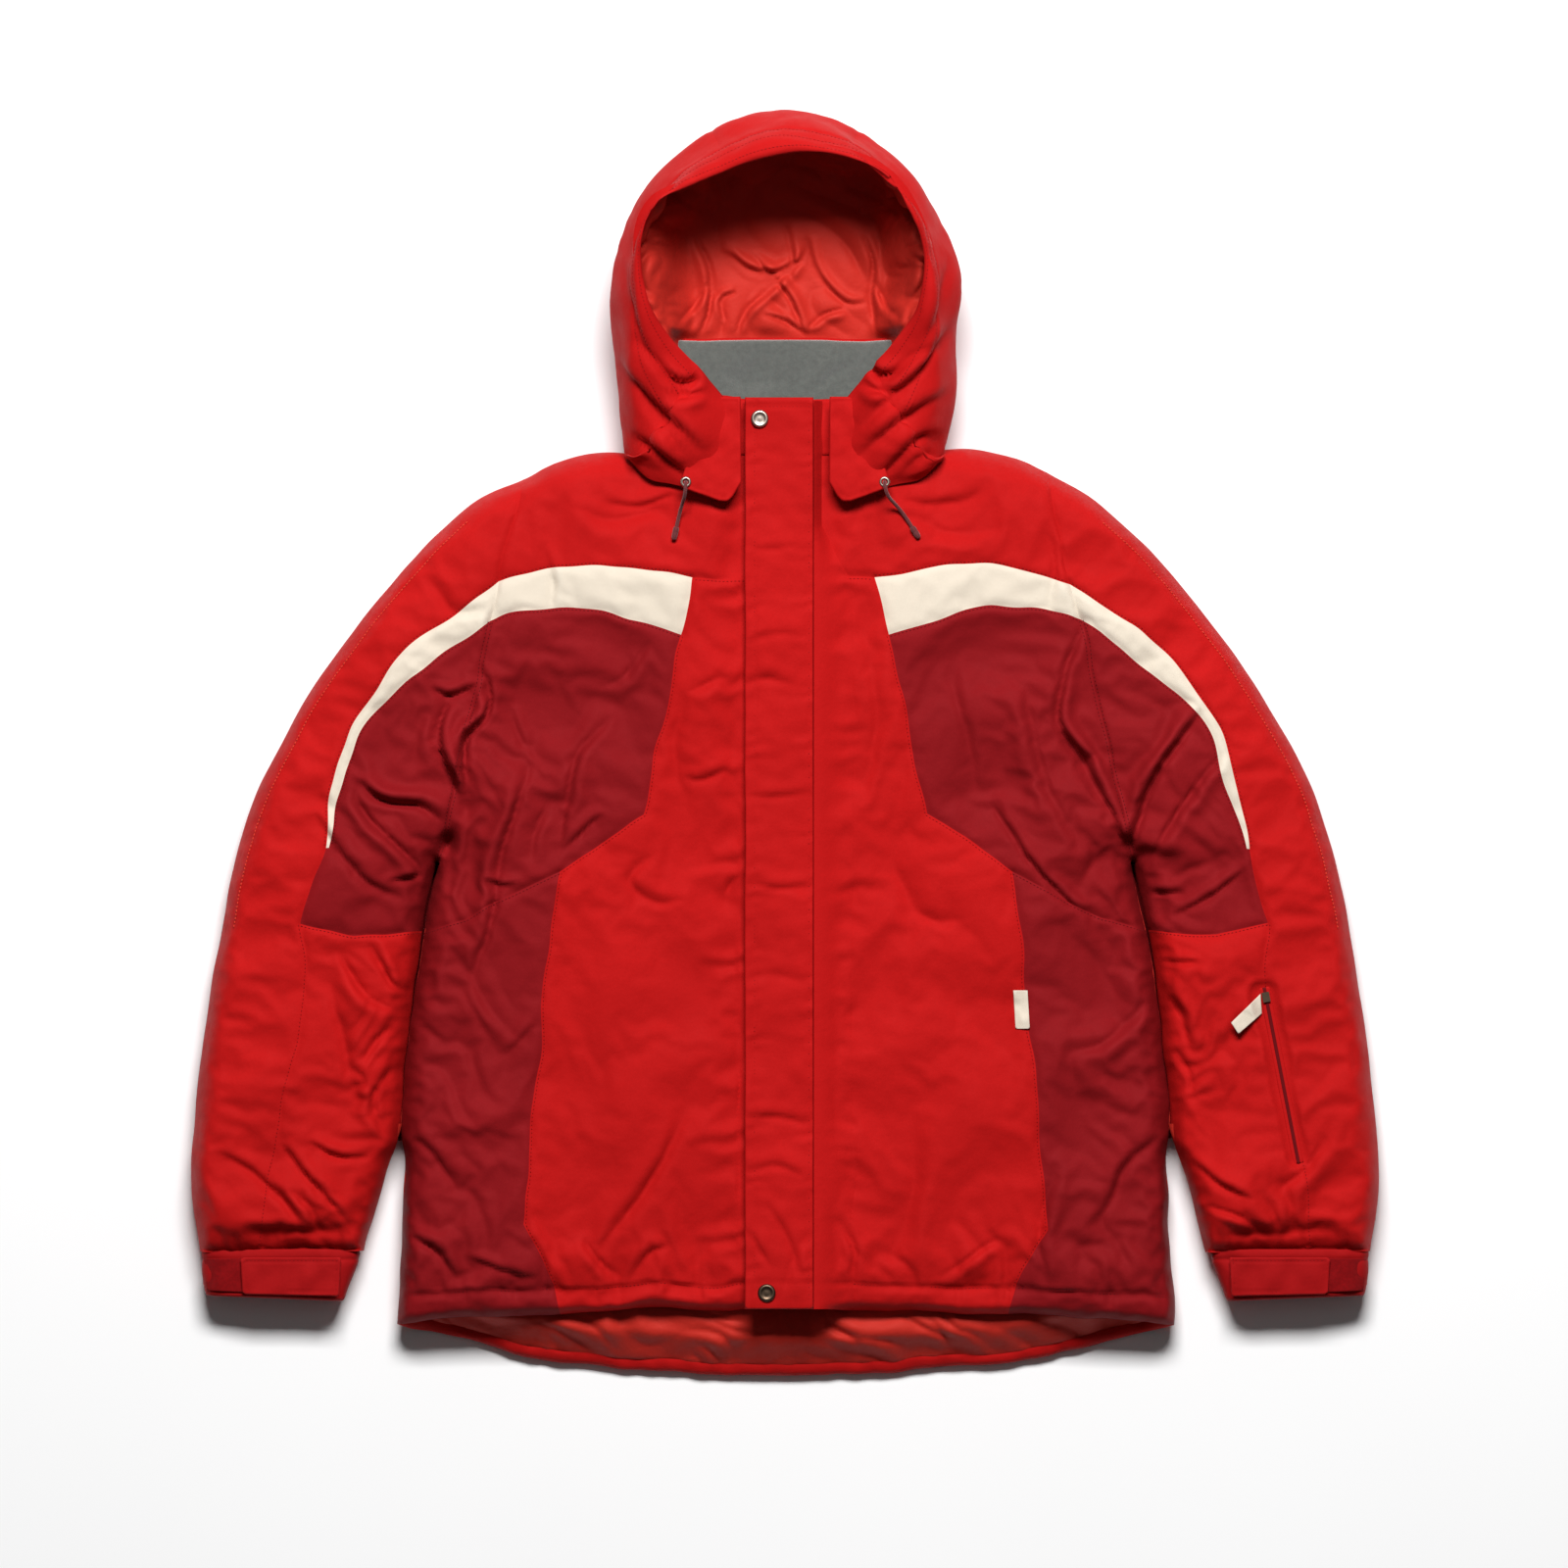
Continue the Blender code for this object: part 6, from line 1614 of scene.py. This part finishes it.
LINING_FOLDS = [
    ([(-0.060, 0.425), (-0.020, 0.408), (0.010, 0.415), (0.018, 0.430)], 0.010, 0.0060, 0.9),
    ([(-0.042, 0.352), (-0.034, 0.375), (-0.012, 0.395), (0.012, 0.420)], 0.010, 0.0055, -0.9),
    ([(-0.030, 0.425), (-0.012, 0.405), (0.004, 0.385), (0.016, 0.355)], 0.009, 0.0055, 0.9),
    ([(0.018, 0.440), (0.026, 0.410), (0.050, 0.385), (0.070, 0.382)], 0.008, 0.0060, 0.9),
    ([(0.020, 0.360), (0.034, 0.372), (0.052, 0.380)], 0.007, 0.0050, -0.9),
    ([(-0.074, 0.352), (-0.066, 0.378), (-0.068, 0.410), (-0.080, 0.440)], 0.009, 0.0060, 0.9),
    ([(-0.094, 0.360), (-0.078, 0.384), (-0.070, 0.400)], 0.007, 0.0050, -0.9),
    ([(0.080, 0.352), (0.074, 0.384), (0.078, 0.416), (0.070, 0.440)], 0.009, 0.0060, -0.9),
    ([(0.100, 0.366), (0.086, 0.380), (0.078, 0.400)], 0.007, 0.0050, 0.9),
    ([(-0.050, 0.366), (-0.056, 0.384), (-0.042, 0.392)], 0.006, 0.0045, 0.8),
    ([(0.000, 0.450), (0.006, 0.425), (0.004, 0.400)], 0.006, 0.0060, 0.8),
    ([(-0.020, 0.372), (0.000, 0.366), (0.020, 0.352)], 0.006, 0.0050, 0.8),
]


def hood_lining(turns, grid, row_of):
    """The padded lining: a hanging wall under the brim and the wrinkled back between."""
    columns = 26
    wall = []
    for r in range(row_of(-1.0), row_of(1.0) + 1):
        row = [grid[r, -1], *[section_point(turns[r], d, 0.0085) for d in (30, 8, -15, -40, -65, -88)]]
        wall.append(resampled(refine(np.array(row), 6), columns))
    wall = np.array(wall)
    around = reaches(wall[:, 2])
    place = np.column_stack([np.repeat(around, columns), np.tile(np.arange(columns) * 0.004, len(wall))])
    lobes = 0.0075 * np.abs(np.sin(around * math.pi / 0.062 + 0.8 * np.sin(around * 30)))[:, None]
    move = 0.0032 * crumple(place, 0.040, 251).reshape(len(wall), columns) + lobes
    move *= ease(np.arange(columns) / 4)[None, :]
    normals = grid_normals(wall)
    if normals[len(wall) // 2, columns // 2, 1] > 0:
        normals = -normals
    wall = wall + normals * np.abs(move)[:, :, None]
    faces = [face[::-1] for face in grid_faces(len(wall), columns)]
    bend_at_neck(piece("hood_lining_wall", wall.reshape(-1, 3), faces, "lining", None))
    lining_back(turns, grid, row_of)


def above_shell(distance):
    """A height just above the hood's rounded underside, this far in from its silhouette."""
    reach, rise, gap = 0.058, 0.070, 0.006
    part = np.clip((reach - distance) / reach, 0, 1)
    return rise * (1 - np.sqrt(1 - part ** 2)) + gap


def lining_back(turns, grid, row_of):
    """The lining of the hood's back, seen through the face opening, swelling up towards the rim."""
    edge = []
    for r in range(row_of(-1.0), row_of(1.0) + 1, 2):
        point, inward = hood_section(turns[r])[:2]
        edge.append(point + inward * 0.0125)
    edge = np.array(edge)
    outline = loop(even(edge, STEP), run(edge[-1], edge[0]))
    rim_line = even(grid[row_of(-1.0):row_of(1.0) + 1, LOWER + UPPER, :2], 0.008)

    def height(points):
        high = 0.0150 + 0.0012 * waves(points, 0.080, 261) + 0.0022 * crumple(points, 0.044, 271)
        for line, depth, width, bank in LINING_FOLDS:
            high += crease(points, line, 0.9 * depth, 0.52 * width, bank)
        rim, along = near(points, rim_line)[:2]
        sides = ease((np.abs(points[:, 0]) - 0.062) / 0.05) * ease((0.500 - points[:, 1]) / 0.05)
        swell = (1 - ease((rim - 0.002) / 0.040)) * sides
        gathers = 0.0060 * np.abs(np.sin(along * math.pi / 0.050 + 1.2 * np.sin(along * 40)))
        high += swell * (0.062 + gathers + 0.004 * crumple(points, 0.026, 281))
        collar_zone = ease((0.362 - points[:, 1]) / 0.012) * ease((0.103 - np.abs(points[:, 0])) / 0.009)
        high = np.where(collar_zone > 0, high + (0.0135 - high) * collar_zone * (1 - 0.7 * swell), high)
        return np.maximum(np.maximum(high, 0.0125), above_shell(near(points, edge)[0] + 0.0125))
    made = cloth_sheet("hood_lining_back", outline, height, "lining", None, ["hood_lining"], spacing=0.0021)
    bend_at_neck(made)


def throat_flap(side):
    """A tab over the hood's front end, stitched down beside the storm flap."""
    outline = loop(flipped(np.vstack([
        run((0.0385, 0.3000), (0.0380, 0.2260), (0.0450, 0.2140), step=0.0024),
        curve([(0.0450, 0.2140), (0.0500, 0.2096), (0.0570, 0.2096)], 0.0024),
        run((0.0570, 0.2096), (0.0850, 0.2196), step=0.0024),
        curve([(0.0850, 0.2196), (0.0905, 0.2225), (0.0898, 0.2290)], 0.0024),
        run((0.0898, 0.2290), (0.0700, 0.2860), (0.0640, 0.3000), (0.0385, 0.3000), step=0.0024)]), side))

    def top(points):
        high = 0.0800 + 0.0005 * waves(points, 0.030, 291) + 0.0002 * waves(points, 0.012, 292)
        distance = near(points, closed(outline))[0]
        return high - 0.0009 * np.exp(-((distance - 0.0035) / 0.0011) ** 2)
    name = side_name(side) + "_throat_flap_cloth"
    made = slab(name, outline, 0.0752, top, "red_shell", None, [side_name(side) + "_throat_flap"],
                radius=0.0026, spacing=0.0026)
    bend_at_neck(made)


# ---------------------------------------------------------------- sleeves

def bend_at_armhole(made):
    """The piece's transform is baked into its mesh."""
    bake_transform(made)


def sleeve_front(side):
    name = side_name(side)
    panels = {
        "outer_sleeve": ("red_shell", (ARMHOLE_TOP[::-1], SLEEVE_OUTER, OUTER_END, FOREARM_SEAM[::-1],
                                       UNDER_SLEEVE_EDGE[::-1], ARM_TOP[::-1])),
        "sleeve_stripe": ("cream_trim", (ARM_TOP, ARM_STRIPE_END, ARM_LOW[::-1], ARMHOLE_STRIPE[::-1])),
        "under_sleeve": ("dark_shell", (ARM_LOW, ARM_STRIPE_END[::-1], UNDER_SLEEVE_EDGE, ELBOW_SEAM,
                                        INNER_TOP[::-1], ARMHOLE_LOW[::-1])),
        "forearm": ("red_shell", (ELBOW_SEAM[::-1], FOREARM_SEAM, INNER_END, INNER_LOW[::-1])),
    }
    for part, (slot, lines) in panels.items():
        outline = loop(*[flipped(line, side) for line in lines])
        made = cloth_sheet(name + "_" + part + "_cloth", outline, front_height, slot, None,
                           [name + "_" + part])
        bend_at_armhole(made)
    half = [ARMHOLE_TOP[::-1], SLEEVE_OUTER, OUTER_END, INNER_END, SLEEVE_INNER[::-1], ARMHOLE_LOW[::-1],
            ARMHOLE_STRIPE[::-1]]
    outline = loop(*[flipped(line, side) for line in half])
    made = cloth_sheet(name + "_sleeve_back_cloth", outline, back_height, "red_shell", None,
                       [name + "_sleeve_back"], spacing=0.009, under=True)
    bend_at_armhole(made)


def sleeve_stitching(side):
    """Topstitched rows beside the sleeve's seams, and a row of larger stitches along the overarm seam near
    the outer edge, coloured a lighter orange as a painted highlight of that seam.
    """
    name = side_name(side)
    shell = [offset(ARM_TOP, 0.0018), offset(FOREARM_SEAM, 0.0018)]
    dark = [offset(ARM_LOW, -0.0018), offset(ELBOW_SEAM, 0.0018), offset(ARMHOLE_LOW, 0.0018)]
    for part, lines, made_of, slot in (("shell", shell, THREAD_RED, "red_shell"),
                                       ("under", dark, THREAD_DARK, "dark_shell")):
        paths = [on_front(line, side) for line in lines]
        made = stitching(name + "_sleeve_stitching_" + part, paths, None, slot, made_of)
        bend_at_armhole(made)
    # the overarm seam's stitches, in the lighter orange of a painted highlight
    painted_highlight_row = [on_front(offset(cut(SLEEVE_OUTER, 0.20, -0.16), -0.0105), side, 0.0003)]
    made = stitching(name + "_sleeve_seam_painted_highlight", painted_highlight_row, None, "red_shell", PAINTED_SEAM_HIGHLIGHT, length=0.0036, width=0.0007,
                     high=0.0006)
    bend_at_armhole(made)


def torso_stitching():
    red, dark = [], []
    for side in (1, -1):
        for line in (offset(TOP, 0.0018), offset(YOKE_SEAM[8:], -0.0018), offset(CHEST_SEAM, -0.0018),
                     offset(SIDE_SEAM[:-8], -0.0018)):
            red.append(on_front(line, side))
        for line in (offset(LOW, -0.0018), offset(UNDERARM_SEAM, -0.0018), offset(ARMHOLE_LOW, -0.0018)):
            dark.append(on_front(line, side))
        hem_red = FRONT_HEM + [0, HEM_ROW]
        hem_dark = SIDE_HEM[2:] + [0, HEM_ROW]
        red.append(on_front(hem_red[:-7], side))
        dark.append(on_front(hem_dark, side))
    stitching("torso_stitching_red", red, "torso", "red_shell", THREAD_RED)
    stitching("torso_stitching_dark", dark, "torso", "dark_shell", THREAD_DARK)


CUFF_TOP = 0.0440


def cuff_ring(y_in, x0, x1, y_out, low, high, count=96):
    """A flattened ring across the sleeve, from its inner side x0 to its outer side x1."""
    angles = np.linspace(0, 2 * math.pi, count, endpoint=False)
    middle, half = (x0 + x1) / 2, (x1 - x0) / 2
    power = 0.42
    cx, sz = np.cos(angles), np.sin(angles)
    x = middle + half * np.sign(cx) * np.abs(cx) ** power
    z = (low + high) / 2 + (high - low) / 2 * np.sign(sz) * np.abs(sz) ** (power + 0.25)
    y = y_in + (y_out - y_in) * (x - x0) / (x1 - x0)
    return np.column_stack([x, y, z])


def cuff(side):
    name = side_name(side)
    outer = [(-0.4385, 0.3700, 0.5050, -0.4385, 0.0012), (-0.4400, 0.3690, 0.5060, -0.4400, 0.0),
             (-0.4440, 0.3690, 0.5062, -0.4440, -0.0004), (-0.4475, 0.3702, 0.5055, -0.4475, 0.0006),
             (-0.4510, 0.3705, 0.5060, -0.4505, -0.0003), (-0.4600, 0.3740, 0.5060, -0.4590, -0.0006),
             (-0.4720, 0.3790, 0.5045, -0.4690, -0.0003), (-0.4780, 0.3810, 0.5038, -0.4735, 0.0008),
             (-0.4815, 0.3822, 0.5030, -0.4765, 0.0006), (-0.4832, 0.3835, 0.5020, -0.4785, 0.0022),
             (-0.4836, 0.3855, 0.5000, -0.4790, 0.0045), (-0.4815, 0.3875, 0.4985, -0.4775, 0.0062),
             (-0.4700, 0.3850, 0.4990, -0.4680, 0.0070), (-0.4550, 0.3810, 0.4990, -0.4540, 0.0070),
             (-0.4390, 0.3780, 0.4990, -0.4390, 0.0070)]
    stations = refine(np.array(outer), 3)
    rings = []
    for y_in, x0, x1, y_out, inset in stations:
        ring = cuff_ring(y_in, x0, x1, y_out, 0.0004 + max(inset, 0), CUFF_TOP - inset)
        ring[:, 2] += 0.0005 * waves(ring[:, :2], 0.022, 301 + side) * (ring[:, 2] > 0.02)
        rings.append(ring * [side, 1, 1])
    count = len(rings[0])
    faces = grid_faces(len(rings), count, closed=True)
    if side == -1:
        faces = [f[::-1] for f in faces]
    piece(name + "_cuff_cloth", np.vstack(rings), faces, "cuff_cloth", name + "_sleeve", [name + "_cuff"])
    lining = []
    for y, inset in ((-0.4700, 0.0074), (-0.44, 0.0076), (-0.40, 0.0078), (-0.33, 0.0080)):
        ring = cuff_ring(y, 0.3700 + (y + 0.44) * -0.35, 0.5050, y, inset, CUFF_TOP - inset)
        lining.append(ring * [side, 1, 1])
    lining_faces = grid_faces(len(lining), count, closed=True)
    if side == 1:
        lining_faces = [f[::-1] for f in lining_faces]
    piece(name + "_sleeve_lining", np.vstack(lining), lining_faces, "lining", name + "_sleeve")


def cuff_fastening(side):
    """The looped patch on the cuff and the tab that closes on it."""
    name = side_name(side)

    def over_edge(lift):
        def height(points):
            out = np.clip((np.abs(points[:, 0]) - 0.484) / 0.020, 0, 1)
            return CUFF_TOP + lift - 0.012 * out ** 2.2 + 0.0003 * waves(points, 0.02, 311)
        return height
    patch = loop(flipped(run((0.4480, -0.4768), (0.5015, -0.4745), (0.5040, -0.4470), (0.4480, -0.4462),
                             (0.4480, -0.4768), step=0.002), side))
    slab(name + "_loop_patch_pile", patch, over_edge(-0.0004), over_edge(0.0012), "hook_and_loop",
         name + "_sleeve", [name + "_loop_patch"], radius=0.0008, spacing=0.0020)
    tab = loop(flipped(run((0.3850, -0.4455), (0.3870, -0.4792), (0.4680, -0.4775), (0.4705, -0.4755),
                           (0.4722, -0.4478), (0.4705, -0.4455), (0.3850, -0.4455), step=0.002), side))

    def tab_top(points):
        distance = near(points, closed(tab))[0]
        high = 0.0492 + 0.0004 * waves(points, 0.022, 321 + side)
        return high - 0.0008 * np.exp(-((distance - 0.0030) / 0.0009) ** 2)
    slab(name + "_cuff_tab_cloth", tab, 0.0464, tab_top, "cuff_cloth", name + "_cuff_tab",
         [name + "_cuff_tab"], radius=0.0016, spacing=0.0022)
    line = even(offset(closed(tab), 0.0030), 0.002)
    path = np.column_stack([line, tab_top(line) + 0.0001])
    stitching(name + "_cuff_tab_stitching", [(path, upright(path))], name + "_cuff_tab", "cuff_cloth",
              THREAD_RED)


def sleeve_pocket():
    """A welted zip on the wearer's left forearm, and the cream tab that pulls its slider."""
    top, bottom = np.array(POCKET[0]), np.array(POCKET[1])
    ahead = (bottom - top) / np.linalg.norm(bottom - top)
    across = np.array([-ahead[1], ahead[0]])
    start, end = top - ahead * 0.004, bottom + ahead * 0.004
    for name, half, low, high, slot, replaces in (
            ("sleeve_pocket_welt", 0.0046, -0.0010, 0.0011, "red_shell", []),
            ("sleeve_pocket_coil", 0.0015, 0.0006, 0.0018, "zip_tape", ["sleeve_pocket_zip"])):
        corners = [start + across * half, start - across * half, end - across * half, end + across * half]
        outline = loop(run(*corners, corners[0], step=0.002))
        slab(name, outline, lambda p, low=low: front_height(p) + low,
             lambda p, high=high: front_height(p) + high, slot, "left_sleeve", replaces, radius=0.0009,
             spacing=0.0022)
    shape = [(0.4118, -0.2170), (0.3860, -0.2420), (0.3925, -0.2520), (0.4130, -0.2340)]
    outline = loop(run(*shape, shape[0], step=0.0018))

    def clear(points):
        """The highest place that the tab passes over on its way down the zip, before drift moves it."""
        stops = np.linspace(0, POCKET_TRAVEL, 40)
        return np.max([front_height(points + ahead * moved) for moved in stops], axis=0)
    slab("sleeve_pocket_tab_cloth", outline, lambda p: clear(p) + 0.0012,
         lambda p: clear(p) + 0.0030 + 0.0003 * waves(p, 0.014, 331), "cream_trim", "pocket_slider",
         ["sleeve_pocket_tab"], radius=0.0008, spacing=0.0018)


# ---------------------------------------------------------------- assembly

camera()
studio()
LIFTS.update({hand: settle_front(hand) for hand in (1, -1)})
for hand in (1, -1):
    drawcord(hand)
for hand in (1, -1):
    torso_front(hand)
    sleeve_front(hand)
    sleeve_stitching(hand)
    throat_flap(hand)
    zip_half(hand)
    cuff(hand)
    cuff_fastening(hand)
    side_seam_binding(hand)
back()
front_linings()
torso_stitching()
flag_tab()
collar()
storm_flap()
flap_seam()
for snap_name, snap_place in SNAPS.items():
    snap(snap_name, snap_place)
keep_metal_parts()
hood()
sleeve_pocket()
